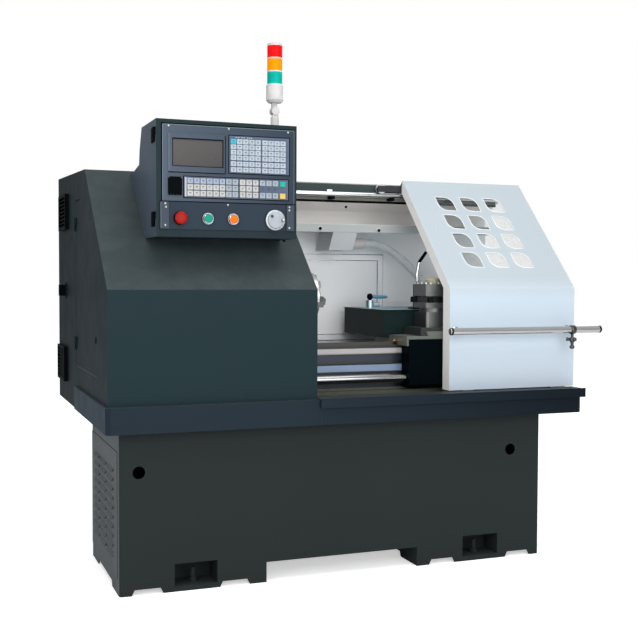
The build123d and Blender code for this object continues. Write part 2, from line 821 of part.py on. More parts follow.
with BuildPart() as drive_belt:
    extrude(belt_loop(seat_gap + belt_thickness), amount=belt_width)
    extrude(belt_loop(seat_gap), amount=belt_width, mode=Mode.SUBTRACT)
drive_belt.part.label = "drive_belt"
export_step(drive_belt.part, "parts/drive_belt.step")

# Headstock cover: one folded skin between two side walls, open below and behind
cover_fold = ((cover_front, tray_top), (cover_front, cover_knee), (cover_crest_y, cover_crest_z),
              (cover_back, cover_back_z))
belt_door_front = cover_front + belt_door_setback
belt_door_back = belt_door_front + belt_door_length
belt_door_z0 = tray_top + belt_door_bottom
belt_door_z1 = belt_door_z0 + belt_door_front_height
belt_door_z2 = belt_door_z0 + belt_door_height
belt_hinge_x = cover_left - hinge_knuckle_radius - seat_gap
belt_hinge_y = belt_door_back + 1.0
belt_hinge_heights = (belt_door_z0 + 60.0, belt_door_z2 - 110.0)


def belt_door_outline(gap):
    """The belt door's corners, grown by a gap."""
    return ((belt_door_front - gap, belt_door_z0 - gap), (belt_door_front - gap, belt_door_z1 + gap / 2),
            (belt_door_back - belt_door_top_length - gap / 2, belt_door_z2 + gap),
            (belt_door_back + gap, belt_door_z2 + gap), (belt_door_back + gap, belt_door_z0 - gap))


def slope_height(y):
    """The height of the cover's slope at one Y."""
    return cover_knee + (y - cover_front) * cover_slope_rise / cover_slope_depth


with BuildPart() as headstock_cover:
    extrude(folded(cover_fold, cover_bend_radius, sheet, cover_left), amount=cover_length)
    wall_outline = ((cover_front + 1.0, tray_top), (cover_front + 1.0, cover_knee - 1.0),
                    (cover_crest_y, cover_crest_z - 1.5), (cover_back, cover_back_z - 1.0),
                    (cover_back, tray_top))
    extrude(side_outline(wall_outline, cover_left), amount=sheet)
    extrude(side_outline(wall_outline, cover_right - sheet), amount=sheet)
    extrude(side_outline(belt_door_outline(belt_door_gap), cover_left - 1.0), amount=sheet + 2.0,
            mode=Mode.SUBTRACT)
    # Seat for the belt door, behind the opening
    extrude(side_outline(belt_door_outline(belt_door_gap + 12.0), cover_left + sheet + belt_door_recess),
            amount=sheet)
    extrude(side_outline(belt_door_outline(-10.0), cover_left + sheet + belt_door_recess - 1.0),
            amount=sheet + 2.0,
            mode=Mode.SUBTRACT)
    for x0, x1, y0, y1, z0, z1 in (
            (cover_left + 1.0, cover_left + sheet + belt_door_recess, belt_door_front - 12.0,
             belt_door_front - 4.0,
             belt_door_z0, belt_door_z0 + 180.0),
            (cover_left + 1.0, cover_left + sheet + belt_door_recess, belt_door_back + 4.0,
             belt_door_back + 12.0,
             belt_door_z0, belt_door_z2)):
        block(x0, x1, y0, y1, z0, z1)
    # Nose hole and the passage of the door's rail and hangers
    rod((cover_right - sheet - 1.0, axis_y, axis_z), along_x, sheet + 2.0, nose_hole_radius, Mode.SUBTRACT)
    passage = ((rail_y - 22.0, rail_z - 22.0), (rail_y - 22.0, slope_height(rail_y - 22.0) - 6.0),
               (rail_y - 5.0, cover_crest_z - 6.0), (rail_y + 22.0, cover_crest_z - 6.0),
               (rail_y + 22.0, rail_z - 22.0))
    extrude(side_outline(passage, cover_right - sheet - 1.0), amount=sheet + 2.0, mode=Mode.SUBTRACT)
    block(cover_right - sheet - 1.0, cover_right + 1.0, z_screw_y - z_screw_radius - 10.0, bed_back + 14.0,
          tray_top - 1.0, bed_top + vee_height + 6.0, Mode.SUBTRACT)
    block(cover_left - 1.0, cover_right + 1.0, cover_back, cover_back + cut_over, tray_top,
          cover_back_z + 5.0,
          Mode.SUBTRACT)
    # Opening behind the control box for its cables, and the small hole beside it
    cable_plane = Plane(origin=((box_left + box_right) / 2, cover_front + 250.0,
                                slope_height(cover_front + 250.0)),
                        x_dir=along_x, z_dir=(0, -cover_slope_rise, cover_slope_depth))
    with BuildSketch(cable_plane) as cable_hole:
        RectangleRounded(120.0, 80.0, 20.0)
    extrude(cable_hole.sketch, amount=10.0, both=True, mode=Mode.SUBTRACT)
    peep_y = cover_front + 182.0
    peep_plane = Plane(origin=(cover_right - 54.0, peep_y, slope_height(peep_y)), x_dir=along_x,
                       z_dir=(0, -cover_slope_rise, cover_slope_depth))
    with BuildSketch(peep_plane) as peep_hole:
        Circle(6.0)
    extrude(peep_hole.sketch, amount=10.0, both=True, mode=Mode.SUBTRACT)
    # Fixed halves of the belt door's hinges
    for z in belt_hinge_heights:
        rod((belt_hinge_x, belt_hinge_y, z), along_z, hinge_knuckle_length, hinge_knuckle_radius)
        block(belt_hinge_x, cover_left, belt_hinge_y, belt_hinge_y + 14.0, z, z + hinge_knuckle_length)
headstock_cover.part.label = "headstock_cover"
export_step(headstock_cover.part, "parts/headstock_cover.step")

with BuildPart() as belt_door:
    door_skin = cover_left + belt_door_recess
    extrude(side_outline(belt_door_outline(0), door_skin), amount=sheet - seat_gap)
    for z in belt_hinge_heights:
        start = z + hinge_knuckle_length + seat_gap
        rod((belt_hinge_x, belt_hinge_y, start), along_z, hinge_knuckle_length, hinge_knuckle_radius)
        block(belt_hinge_x, door_skin + 1.0, belt_hinge_y - 14.0, belt_hinge_y, start,
              start + hinge_knuckle_length)
    rod((door_skin + 1.0, belt_door_front + 25.0, belt_door_z0 + 120.0), (-1, 0, 0), 5.0, 11.0)
belt_door.part.label = "belt_door"
export_step(belt_door.part, "parts/belt_door.step")

# Electrical cabinet behind the headstock cover, open at the back behind its door
cabinet_top_front = cover_back_z
cabinet_top_back = cabinet_top_front + cabinet_roof_rise
opening_left = cover_left + cabinet_frame
opening_right = cover_right - cabinet_frame
opening_bottom = cabinet_bottom + cabinet_frame
opening_top = cabinet_top_front - cabinet_frame
door_rim = 12.0
switch_y = cabinet_front + 278.0
switch_z = tray_top + 344.0
cabinet_hinge_x = opening_right + door_rim + hinge_knuckle_radius + seat_gap
cabinet_hinge_y = cabinet_back + hinge_knuckle_radius + seat_gap
cabinet_hinge_heights = (opening_bottom + 80.0, opening_top - 130.0)
grille_places = ((cabinet_front + 281.0, tray_top + 643.0), (cabinet_front + 334.0, tray_top + 60.0))
with BuildPart() as electrical_cabinet:
    shell = ((cabinet_front, cabinet_bottom), (cabinet_front, cabinet_top_front),
             (cabinet_back, cabinet_top_back),
             (cabinet_back, cabinet_bottom))
    extrude(side_outline(shell, cover_left), amount=cover_length)
    hollow = ((cabinet_front + sheet, cabinet_bottom + sheet),
              (cabinet_front + sheet, cabinet_top_front - sheet),
              (cabinet_back - sheet, cabinet_top_back - sheet),
              (cabinet_back - sheet, cabinet_bottom + sheet))
    extrude(side_outline(hollow, cover_left + sheet), amount=cover_length - 2 * sheet, mode=Mode.SUBTRACT)
    block(opening_left, opening_right, cabinet_back - 2 * sheet, cabinet_back + 1.0, opening_bottom,
          opening_top,
          Mode.SUBTRACT)
    # Mounting plate with its two rails of drives and contactors
    plate_y = cabinet_front + 40.0
    block(cover_left + 40.0, cover_right - 40.0, plate_y, plate_y + sheet, cabinet_bottom + 60.0,
          cabinet_top_front - 60.0)
    for x in (cover_left + 60.0, cover_right - 80.0):
        for z in (cabinet_bottom + 80.0, cabinet_top_front - 100.0):
            block(x, x + 20.0, cabinet_front + sheet, plate_y, z, z + 20.0)
    for row_z, height, depth, count in ((cabinet_bottom + 480.0, 220.0, 160.0, 4),
                                        (cabinet_bottom + 140.0, 90.0, 80.0, 9)):
        rack = cover_length - 160.0
        step = rack / count
        for place in range(count):
            x = cover_left + 80.0 + step * place
            block(x, x + step - 8.0, plate_y + sheet, plate_y + sheet + depth, row_z, row_z + height)
    # Seat of the main switch
    block(cover_left - switch_base_thickness, cover_left, switch_y - switch_base / 2,
          switch_y + switch_base / 2,
          switch_z - switch_base / 2, switch_z + switch_base / 2)
    rod((cover_left - 5.0, switch_y, switch_z), along_x, 12.0, 6.0 + running_gap, Mode.SUBTRACT)
    for centre_y, centre_z in grille_places:
        block(cover_left - 1.0, cover_left + sheet + 1.0, centre_y - grille_length / 2 + 12.0,
              centre_y + grille_length / 2 - 12.0, centre_z - grille_height / 2 + 12.0,
              centre_z + grille_height / 2 - 12.0, Mode.SUBTRACT)
    # Fixed halves of the door's hinges
    for z in cabinet_hinge_heights:
        rod((cabinet_hinge_x, cabinet_hinge_y, z), along_z, hinge_knuckle_length, hinge_knuckle_radius)
        block(cabinet_hinge_x - 1.0, cabinet_hinge_x + hinge_knuckle_radius, cabinet_back - 1.0,
              cabinet_hinge_y, z, z + hinge_knuckle_length)
electrical_cabinet.part.label = "electrical_cabinet"
export_step(electrical_cabinet.part, "parts/electrical_cabinet.step")

with BuildPart() as cabinet_door:
    door_plate = 16.0
    block(opening_left - door_rim, opening_right + door_rim, cabinet_back - door_plate + 4.0,
          cabinet_back + sheet,
          opening_bottom - door_rim, opening_top + door_rim)
    block(opening_left - door_rim - 1.0, opening_left + 2.0, cabinet_back - door_plate,
          cabinet_back + seat_gap,
          opening_bottom - door_rim - 1.0, opening_top + door_rim + 1.0, Mode.SUBTRACT)
    block(opening_right - 2.0, opening_right + door_rim + 1.0, cabinet_back - door_plate,
          cabinet_back + seat_gap,
          opening_bottom - door_rim - 1.0, opening_top + door_rim + 1.0, Mode.SUBTRACT)
    for z0, z1 in ((opening_bottom - door_rim - 1.0, opening_bottom + 2.0),
                   (opening_top - 2.0, opening_top + door_rim + 1.0)):
        block(opening_left - door_rim - 1.0, opening_right + door_rim + 1.0, cabinet_back - door_plate,
              cabinet_back + seat_gap, z0, z1, Mode.SUBTRACT)
    block(opening_left + 4.0, opening_right - 4.0, cabinet_back - door_plate, cabinet_back + seat_gap,
          opening_bottom + 4.0, opening_top - 4.0, Mode.SUBTRACT)
    rod((opening_left + 25.0, cabinet_back + sheet, (opening_bottom + opening_top) / 2), along_y,
        latch_height, 12.0)
    for z in cabinet_hinge_heights:
        start = z + hinge_knuckle_length + seat_gap
        rod((cabinet_hinge_x, cabinet_hinge_y, start), along_z, hinge_knuckle_length, hinge_knuckle_radius)
        block(opening_right + door_rim - 6.0, cabinet_hinge_x, cabinet_back + seat_gap, cabinet_hinge_y - 0.3,
              start, start + hinge_knuckle_length)
cabinet_door.part.label = "cabinet_door"
export_step(cabinet_door.part, "parts/cabinet_door.step")

# Louvred vent covers on the left side of the cabinet
with BuildPart() as vent_grilles:
    for centre_y, centre_z in grille_places:
        block(cover_left - grille_depth, cover_left, centre_y - grille_length / 2,
              centre_y + grille_length / 2,
              centre_z - grille_height / 2, centre_z + grille_height / 2)
        block(cover_left - grille_depth - 1.0, cover_left + 1.0, centre_y - grille_length / 2 + 10.0,
              centre_y + grille_length / 2 - 10.0, centre_z - grille_height / 2 + 10.0,
              centre_z + grille_height / 2 - 10.0, Mode.SUBTRACT)
        slat_pitch = (grille_height - 18.0) / grille_slats
        for number in range(grille_slats):
            foot_z = centre_z - grille_height / 2 + 9.0 + number * slat_pitch
            slat = ((cover_left - grille_depth + 1.0, foot_z), (cover_left - 1.0, foot_z + slat_pitch),
                    (cover_left - 1.0, foot_z + slat_pitch - 3.0), (cover_left - grille_depth + 3.5, foot_z))
            extrude(front_outline(slat, centre_y + grille_length / 2 - 9.0), amount=grille_length - 18.0)
vent_grilles.part.label = "vent_grilles"
export_step(vent_grilles.part, "parts/vent_grilles.step")

with BuildPart() as main_switch:
    knob_left = cover_left - switch_base_thickness - seat_gap
    rod((knob_left - 8.0, switch_y, switch_z), along_x, 8.0, switch_size / 2 - 2.0)
    block(knob_left - switch_knob_height, knob_left - 8.0, switch_y - 6.0, switch_y + 6.0,
          switch_z - switch_size / 2 + 3.0,
          switch_z + switch_size / 2 - 3.0)
    rod((knob_left, switch_y, switch_z), along_x, 8.0, 6.0)
main_switch.part.label = "main_switch"
export_step(main_switch.part, "parts/main_switch.step")

# Control box on the slope of the cover
flare_1 = (box_front + 252.0, box_z + 246.0)
flare_2 = (box_front + 328.0, box_z + 234.0)
slope_end_y = box_front + 406.0
box_outline = ((box_front, box_z), (box_front, box_top), (box_front + box_top_depth, box_top),
               (box_front + box_top_depth + 34.0, box_top - 69.0), flare_1, flare_2,
               (slope_end_y, slope_height(slope_end_y)),
               (cover_front + (box_z - cover_knee) * cover_slope_depth / cover_slope_rise, box_z))
box_knuckle_radius = 4.0
box_hinge_x = box_left - box_knuckle_radius - seat_gap
box_hinge_y = box_front + 1.5
box_hinge_heights = (box_top - 70.0, box_z + 32.0)
leaf_height = 45.0
with BuildPart() as control_box:
    extrude(side_outline(box_outline, box_left), amount=box_length)
    rear_y = box_front + 335.0
    room = ((box_front - 1.0, box_z + box_wall), (box_front - 1.0, box_top - box_wall),
            (box_front + box_top_depth - box_wall, box_top - box_wall),
            (box_front + box_top_depth + 30.0, box_top - 70.0), (flare_1[0] - 4.0, flare_1[1] - 4.0),
            (flare_2[0], flare_2[1] - 4.0), (rear_y, slope_height(rear_y) + 4.0),
            (cover_front + (box_z - cover_knee) * cover_slope_depth / cover_slope_rise - 3.0,
             box_z + box_wall))
    extrude(side_outline(room, box_left + box_wall), amount=box_length - 2 * box_wall, mode=Mode.SUBTRACT)
    for z in box_hinge_heights:
        half_leaf = leaf_height / 2 - seat_gap
        block(box_left - 3.0, box_left, box_front + 7.0, box_front + 45.0, z, z + leaf_height)
        rod((box_hinge_x, box_hinge_y, z), along_z, half_leaf, box_knuckle_radius)
        block(box_hinge_x, box_left, box_hinge_y, box_front + 8.0, z, z + half_leaf)
control_box.part.label = "control_box"
export_step(control_box.part, "parts/control_box.step")

# Front door of the control box: a pan that holds the screen, keys and switches
frame_z = box_z + frame_bottom
screen_x0 = box_left + screen_left_inset
screen_z0 = box_z + screen_bottom
mdi_x0 = box_left + mdi_left_inset
mdi_z0 = box_z + mdi_bottom
operator_x0 = box_left + operator_left_inset
operator_z0 = box_z + operator_bottom
port_x0 = box_left + port_left_inset
port_z0 = box_z + port_bottom
port_back = pan_front - frame_proud - seat_gap
port_barrel_radius = port_thickness / 2
port_hinge_y = port_back - port_barrel_radius
port_hinge_z = port_z0 + port_height + port_barrel_radius + seat_gap
port_lug = 4.0
button_z = box_z + button_height
plate_z0 = box_z + plate_bottom
button_places = {"stop": box_left + stop_inset, "start": box_left + start_inset,
                 "hold": box_left + hold_inset,
                 "dial": box_left + dial_inset}
pan_back = box_front - seat_gap
with BuildPart() as panel_door:
    block(box_left, box_right, pan_front, pan_back, box_z, box_top)
    block(box_left + sheet, box_right - sheet, pan_front + 3.0, pan_back + 1.0, box_z + sheet,
          box_top - sheet,
          Mode.SUBTRACT)
    block(box_left + frame_margin, box_right - 9.0, pan_front - frame_proud, pan_front, frame_z,
          box_top - frame_top_margin)
    block(screen_x0 - bezel_border, screen_x0 + screen_length + 7.0, pan_front - frame_proud - 3.0,
          pan_front - frame_proud, screen_z0 - 19.0, screen_z0 + screen_height + bezel_top_border)
    front = pan_front - frame_proud - 3.0 - cut_over
    block(screen_x0, screen_x0 + screen_length, front, pan_back, screen_z0, screen_z0 + screen_height,
          Mode.SUBTRACT)
    for place in button_places.values():
        rod((place, front, button_z), along_y, 40.0, stem_radius + seat_gap, Mode.SUBTRACT)
    for z in box_hinge_heights:
        start = z + leaf_height / 2
        rod((box_hinge_x, box_hinge_y, start), along_z, leaf_height / 2, box_knuckle_radius)
        block(box_hinge_x, box_left + 1.0, pan_front + 4.0, pan_back, start, start + leaf_height / 2)
    # Lugs of the port cover's hinge
    for x in (port_x0, port_x0 + port_length - port_lug):
        rod((x, port_hinge_y, port_hinge_z), along_x, port_lug, port_barrel_radius)
        block(x, x + port_lug, port_hinge_y, pan_front - frame_proud, port_hinge_z - port_barrel_radius,
              port_hinge_z + port_barrel_radius)
panel_door.part.label = "panel_door"
export_step(panel_door.part, "parts/panel_door.step")

with BuildPart() as screen_glass:
    glass_front = pan_front - frame_proud
    block(screen_x0 + seat_gap, screen_x0 + screen_length - seat_gap, glass_front, glass_front + 4.0,
          screen_z0 + seat_gap, screen_z0 + screen_height - seat_gap)
screen_glass.part.label = "screen_glass"
export_step(screen_glass.part, "parts/screen_glass.step")


def keys(x0, z0, width, height, columns, rows, base_y, share=0.8):
    """A block of raised keys that fills a rectangle."""
    pitch_x = width / columns
    pitch_z = height / rows
    for column in range(columns):
        for row in range(rows):
            x = x0 + (column + (1 - share) / 2) * pitch_x
            z = z0 + (row + (1 - share) / 2) * pitch_z
            block(x, x + share * pitch_x, base_y - key_proud, base_y, z, z + share * pitch_z)


# Data keys beside the screen and operator keys below it
with BuildPart() as key_panels:
    base = pan_front - frame_proud
    face = base - keypad_proud
    block(mdi_x0, mdi_x0 + mdi_length, face, base, mdi_z0, mdi_z0 + mdi_height)
    block(operator_x0, operator_x0 + operator_length, face, base, operator_z0, operator_z0 + operator_height)
    for start, width, columns in ((8.0, 104.0, 5), (116.0, 78.0, 4)):
        keys(mdi_x0 + start, mdi_z0 + 6.0, width, 33.0, columns, 2, face)
        keys(mdi_x0 + start, mdi_z0 + 43.0, width, 66.0, columns, 4, face)
    for start, width, columns in ((6.0, 138.0, 6), (150.0, 46.0, 2), (202.0, 64.0, 3), (270.0, 64.0, 3)):
        keys(operator_x0 + start, operator_z0 + 4.0, width, operator_height - 8.0, columns, 3, face)
key_panels.part.label = "key_panels"
export_step(key_panels.part, "parts/key_panels.step")

with BuildPart() as port_cover:
    port_front = port_back - port_thickness
    block(port_x0, port_x0 + port_length, port_front, port_back, port_z0, port_z0 + port_height)
    fillet(port_cover.edges().filter_by(Axis.Y), 4.0)
    barrel_x0 = port_x0 + port_lug + seat_gap
    barrel_length = port_length - 2 * (port_lug + seat_gap)
    rod((barrel_x0, port_hinge_y, port_hinge_z), along_x, barrel_length, port_barrel_radius)
    block(barrel_x0, barrel_x0 + barrel_length, port_front + 1.0, port_back - 1.0,
          port_z0 + port_height - 1.0,
          port_hinge_z)
port_cover.part.label = "port_cover"
export_step(port_cover.part, "parts/port_cover.step")

with BuildPart() as switch_plate:
    plate_x0 = box_left + plate_inset
    plate_x1 = box_right - plate_inset + 2.0
    plate_front = pan_front - plate_thickness
    block(plate_x0, plate_x1, plate_front, pan_front, plate_z0, plate_z0 + plate_height)
    for x in (plate_x0, plate_x1 - 10.0):
        block(x, x + 10.0, plate_front - 5.0, plate_front, plate_z0, plate_z0 + plate_height)
    for name in ("stop", "start", "hold"):
        rod((button_places[name], plate_front - 4.0, button_z), along_y, 4.0, 18.5)
    for place in button_places.values():
        rod((place, plate_front - 10.0, button_z), along_y, 20.0, stem_radius + seat_gap, Mode.SUBTRACT)
switch_plate.part.label = "switch_plate"
export_step(switch_plate.part, "parts/switch_plate.step")

bezel_front = plate_front - 4.0
with BuildPart() as stop_button:
    cap = ((0, 0), (0, 15.0), (4.0, 20.0), (10.0, 20.0), (12.0, 14.0), (14.0, stem_radius),
           (44.0, stem_radius), (44.0, 0))
    cap_front = bezel_front - button_travel - seat_gap - 14.0
    turned(cap, (button_places["stop"], cap_front, button_z), along_y)
stop_button.part.label = "stop_button"
export_step(stop_button.part, "parts/stop_button.step")

push_cap = ((0, 0), (0, 11.0), (2.0, 13.0), (6.0, 13.0), (6.0, stem_radius), (36.0, stem_radius), (36.0, 0))
push_front = bezel_front - button_travel - seat_gap - 6.0
with BuildPart() as start_button:
    turned(push_cap, (button_places["start"], push_front, button_z), along_y)
start_button.part.label = "start_button"
export_step(start_button.part, "parts/start_button.step")

with BuildPart() as hold_button:
    turned(push_cap, (button_places["hold"], push_front, button_z), along_y)
hold_button.part.label = "hold_button"
export_step(hold_button.part, "parts/hold_button.step")

with BuildPart() as pulse_dial:
    dial_front = plate_front - seat_gap - 14.0
    profile = ((0, 0), (0, dial_radius - 3.0), (3.0, dial_radius), (14.0, dial_radius), (14.0, stem_radius),
               (40.0, stem_radius), (40.0, 0))
    turned(profile, (button_places["dial"], dial_front, button_z), along_y)
    rod((button_places["dial"] + 20.0, dial_front - 18.0, button_z), along_y, 18.0, 5.0)
pulse_dial.part.label = "pulse_dial"
export_step(pulse_dial.part, "parts/pulse_dial.step")

# Signal lamp on a folding foot
lamp_x = box_right - lamp_right_inset
lamp_y = tray_front + lamp_setback
pivot_z = box_top + lamp_pivot_rise
lamp_base_z = pivot_z + 27.0
lens_z = lamp_base_z + 60.0
lens_pitch = lens_height + lens_gap
pin_radius = 4.0
with BuildPart() as lamp_foot:
    rod((lamp_x, lamp_y, box_top), along_z, 5.0, lamp_tube_radius + 6.0)
    rod((lamp_x, lamp_y, box_top + 5.0), along_z, lamp_pivot_rise - lamp_disc_radius - 5.0 - 6.0,
        lamp_tube_radius)
    block(lamp_x - 10.0, lamp_x + 10.0, lamp_y - 10.0, lamp_y - seat_gap / 2,
          pivot_z - lamp_disc_radius - 8.0, pivot_z)
    rod((lamp_x, lamp_y - lamp_disc_width, pivot_z), along_y, lamp_disc_width - seat_gap / 2,
        lamp_disc_radius)
    rod((lamp_x, lamp_y - 9.0, pivot_z), along_y, 12.0, pin_radius + running_gap, Mode.SUBTRACT)
lamp_foot.part.label = "lamp_foot"
export_step(lamp_foot.part, "parts/lamp_foot.step")

with BuildPart() as lamp_body:
    rod((lamp_x, lamp_y + seat_gap / 2, pivot_z), along_y, lamp_disc_width - seat_gap / 2, lamp_disc_radius)
    rod((lamp_x, lamp_y - 8.0, pivot_z), along_y, 8.0 + seat_gap, pin_radius)
    block(lamp_x - 9.0, lamp_x + 9.0, lamp_y + seat_gap / 2, lamp_y + 10.0, pivot_z, lamp_base_z)
    stack = [(0, 0), (0, lamp_base_radius - 6.0), (8.0, lamp_base_radius), (56.0, lamp_base_radius),
             (60.0, lens_radius)]
    for number in range(3):
        bottom = 60.0 + number * lens_pitch
        ledge = bottom + lens_height
        stack += [(bottom, lamp_core_radius), (ledge, lamp_core_radius), (ledge, lens_radius)]
    cap_z = 60.0 + 3 * lens_pitch - lens_gap
    stack += [(cap_z + lamp_cap_height - 3.0, lens_radius), (cap_z + lamp_cap_height, lens_radius - 5.0),
              (cap_z + lamp_cap_height, 0)]
    stack.insert(8, (60.0 + lens_pitch, lens_radius))
    stack.insert(12, (60.0 + 2 * lens_pitch, lens_radius))
    turned(stack, (lamp_x, lamp_y, lamp_base_z), along_z)
lamp_body.part.label = "lamp_body"
export_step(lamp_body.part, "parts/lamp_body.step")

with BuildPart() as lamp_lenses:
    for number in range(3):
        bottom = number * lens_pitch
        ring = ((bottom, lamp_core_radius + running_gap), (bottom, lens_radius),
                (bottom + lens_height, lens_radius), (bottom + lens_height, lamp_core_radius + running_gap))
        turned(ring, (lamp_x, lamp_y, lens_z), along_z)
lamp_lenses.part.label = "lamp_lenses"
export_step(lamp_lenses.part, "parts/lamp_lenses.step")

# Back wall and sloping roof of the working space, with the shelf and the wiring duct on it
wall_left = cover_right + 2.0
wall_top = tray_top + wall_height
roof_front = tray_front + roof_front_setback
shelf_z = tray_top + shelf_top
duct_x = cover_right + duct_left
duct_top = shelf_z - shelf_lip
duct_bottom = duct_top - duct_height
collar_y = tray_front + 620.0
collar_z = duct_bottom + 29.0
access_x1 = cover_right + access_right
access_z1 = tray_top + access_top
with BuildPart() as back_wall:
    fold = ((wall_y + sheet, tray_top), (wall_y + sheet, wall_top), (roof_front, wall_top + roof_rise))
    extrude(folded(fold, cover_bend_radius, sheet, wall_left, Side.LEFT), amount=tray_right - wall_left)
    shelf_fold = ((wall_y, shelf_z), (wall_y - shelf_reach, shelf_z),
                  (wall_y - shelf_reach, shelf_z - shelf_lip),
                  (wall_y - shelf_reach + 14.0, shelf_z - shelf_lip))
    extrude(folded(shelf_fold, 3.0, sheet, wall_left, Side.LEFT),
            amount=tray_right - shelf_right_inset - wall_left)
    duct = ((wall_y - shelf_reach + 2.0, duct_top), (wall_y - 142.0, duct_bottom), (wall_y, duct_bottom),
            (wall_y, duct_top))
    extrude(side_outline(duct, duct_x), amount=duct_length)
    block(duct_x, duct_x + duct_length, wall_y - 30.0, wall_y, duct_top, shelf_z - sheet)
    rod((duct_x + duct_length, collar_y, collar_z), along_x, collar_length, collar_radius)
    with BuildSketch(Plane.XZ.offset(-wall_y)) as border:
        with Locations((access_x1 - access_length / 2, access_z1 - access_height / 2)):
            Rectangle(access_length, access_height)
            Rectangle(access_length - 2 * access_border, access_height - 2 * access_border,
                      mode=Mode.SUBTRACT)
    extrude(amount=access_proud)
back_wall.part.label = "back_wall"
export_step(back_wall.part, "parts/back_wall.step")

beam_front = roof_front - 2.0
beam_top = wall_top + roof_rise - 1.0
beam_slope = roof_rise / (wall_y + sheet - roof_front)
with BuildPart() as roof_beam:
    top_back = beam_top - sheet - 1.0 - (beam_width + 2.0) * beam_slope
    tube = ((beam_front, beam_top - beam_height), (beam_front, beam_top - sheet - 2.0),
            (beam_front + beam_width, top_back),
            (beam_front + beam_width, beam_top - beam_height))
    extrude(side_outline(tube, wall_left), amount=tray_right - wall_left)
    tube_wall = 3.0
    block(wall_left - 1.0, tray_right + 1.0, beam_front + tube_wall, beam_front + beam_width - tube_wall,
          beam_top - beam_height + tube_wall, top_back - tube_wall, Mode.SUBTRACT)
roof_beam.part.label = "roof_beam"
export_step(roof_beam.part, "parts/roof_beam.step")

with BuildPart() as door_rail:
    rod((cover_right - rail_left_reach, rail_y, rail_z), along_x, tray_right - cover_right + rail_left_reach,
        rail_radius)
    for number in range(rail_support_count):
        x = cover_right + 214.0 + number * rail_support_pitch
        block(x, x + 20.0, rail_y + rail_radius - 2.0, beam_front, rail_z - 6.0, rail_z + 5.0)
        block(x, x + 20.0, rail_y + rail_radius + seat_gap, beam_front, rail_z - 6.0, rail_z + 16.0)
door_rail.part.label = "door_rail"
export_step(door_rail.part, "parts/door_rail.step")

# Saddle on the bed ways, with the dovetail for the cross slide
saddle_bottom = bed_top + seat_gap
saddle_top = bed_top + saddle_thickness
saddle_front = bed_front - saddle_overhang
saddle_back = bed_back + 5.0
saddle_left = saddle_x - saddle_length / 2
saddle_right = saddle_left + saddle_length
screw_z = saddle_top - x_screw_drop
dovetail_top = saddle_top + dovetail_height
gland_x = saddle_right + 22.0
gland_y = tray_front + 500.0
gland_z = tray_top + 238.0
gland_length = 26.0
with BuildPart() as saddle:
    section = ((saddle_front, saddle_bottom), (vee_y - vee_width / 2 - 0.6, saddle_bottom),
               (vee_y, bed_top + vee_height + 0.6), (vee_y + vee_width / 2 + 0.6, saddle_bottom),
               (saddle_back, saddle_bottom), (saddle_back, saddle_top), (saddle_front, saddle_top))
    extrude(side_outline(section, saddle_left), amount=saddle_length)
    half = dovetail_width / 2
    dovetail = ((saddle_x - half, saddle_top), (saddle_x - half - dovetail_undercut, dovetail_top),
                (saddle_x + half + dovetail_undercut, dovetail_top), (saddle_x + half, saddle_top))
    extrude(front_outline(dovetail, saddle_back), amount=saddle_back - saddle_front)
    block(saddle_x - 14.0, saddle_x + 14.0, saddle_front + 12.0, saddle_back + 1.0,
          screw_z - x_screw_radius - 1.0,
          dovetail_top + 1.0, Mode.SUBTRACT)
    # Rear bearing housing and drive of the cross screw
    block(saddle_x - 32.0, saddle_x + 32.0, saddle_back, saddle_back + 36.0, saddle_bottom + 2.0,
          dovetail_top - 2.0)
    rod((saddle_x, saddle_back - 1.0, screw_z), along_y, 38.0, x_screw_radius + running_gap, Mode.SUBTRACT)
    block(saddle_x - x_motor_size / 2, saddle_x + x_motor_size / 2, saddle_back + 36.0,
          saddle_back + 36.0 + x_motor_length, screw_z - x_motor_size / 2, screw_z + x_motor_size / 2)
    # Arm that carries the gland of the wiring conduit
    block(saddle_right, gland_x + 11.0, saddle_back - 20.0, saddle_back, saddle_bottom + 3.0,
          saddle_top - 14.0)
    arm = ((saddle_back - 20.0, saddle_bottom + 3.0), (saddle_back - 20.0, saddle_top),
           (gland_y - 22.0, gland_z - gland_length),
           (gland_y + 22.0, gland_z - gland_length), (gland_y + 22.0, gland_z - gland_length - 12.0),
           (saddle_back + 6.0, saddle_bottom + 3.0))
    extrude(side_outline(arm, gland_x - 4.0), amount=15.0)
    block(gland_x - 4.0, gland_x + 26.0, gland_y - 22.0, gland_y + 22.0, gland_z - gland_length - 6.0,
          gland_z - gland_length)
    rod((gland_x + 5.0, gland_y, gland_z - gland_length), along_z, gland_length, conduit_radius + 3.0)
saddle.part.label = "saddle"
export_step(saddle.part, "parts/saddle.step")

# Wiring conduit from the collar on the duct down to the gland on the saddle
conduit_start = (duct_x + duct_length + collar_length, collar_y, collar_z)
conduit_end = (gland_x + 5.0, gland_y, gland_z)
conduit_route = (conduit_start,
                 (tray_left + 1092.0, collar_y, collar_z),
                 (tray_left + 1134.0, tray_front + 618.0, tray_top + 534.5),
                 (tray_left + 1176.0, tray_front + 613.0, tray_top + 524.0),
                 (tray_left + 1216.0, tray_front + 603.0, tray_top + 504.0),
                 (tray_left + 1252.0, tray_front + 588.0, tray_top + 475.0),
                 (tray_left + 1284.0, tray_front + 569.0, tray_top + 440.0),
                 (tray_left + 1313.0, tray_front + 547.0, tray_top + 403.0),
                 (tray_left + 1340.0, tray_front + 525.0, tray_top + 364.0),
                 (tray_left + 1362.0, tray_front + 508.0, tray_top + 322.0),
                 (conduit_end[0], conduit_end[1], tray_top + 280.0),
                 conduit_end)


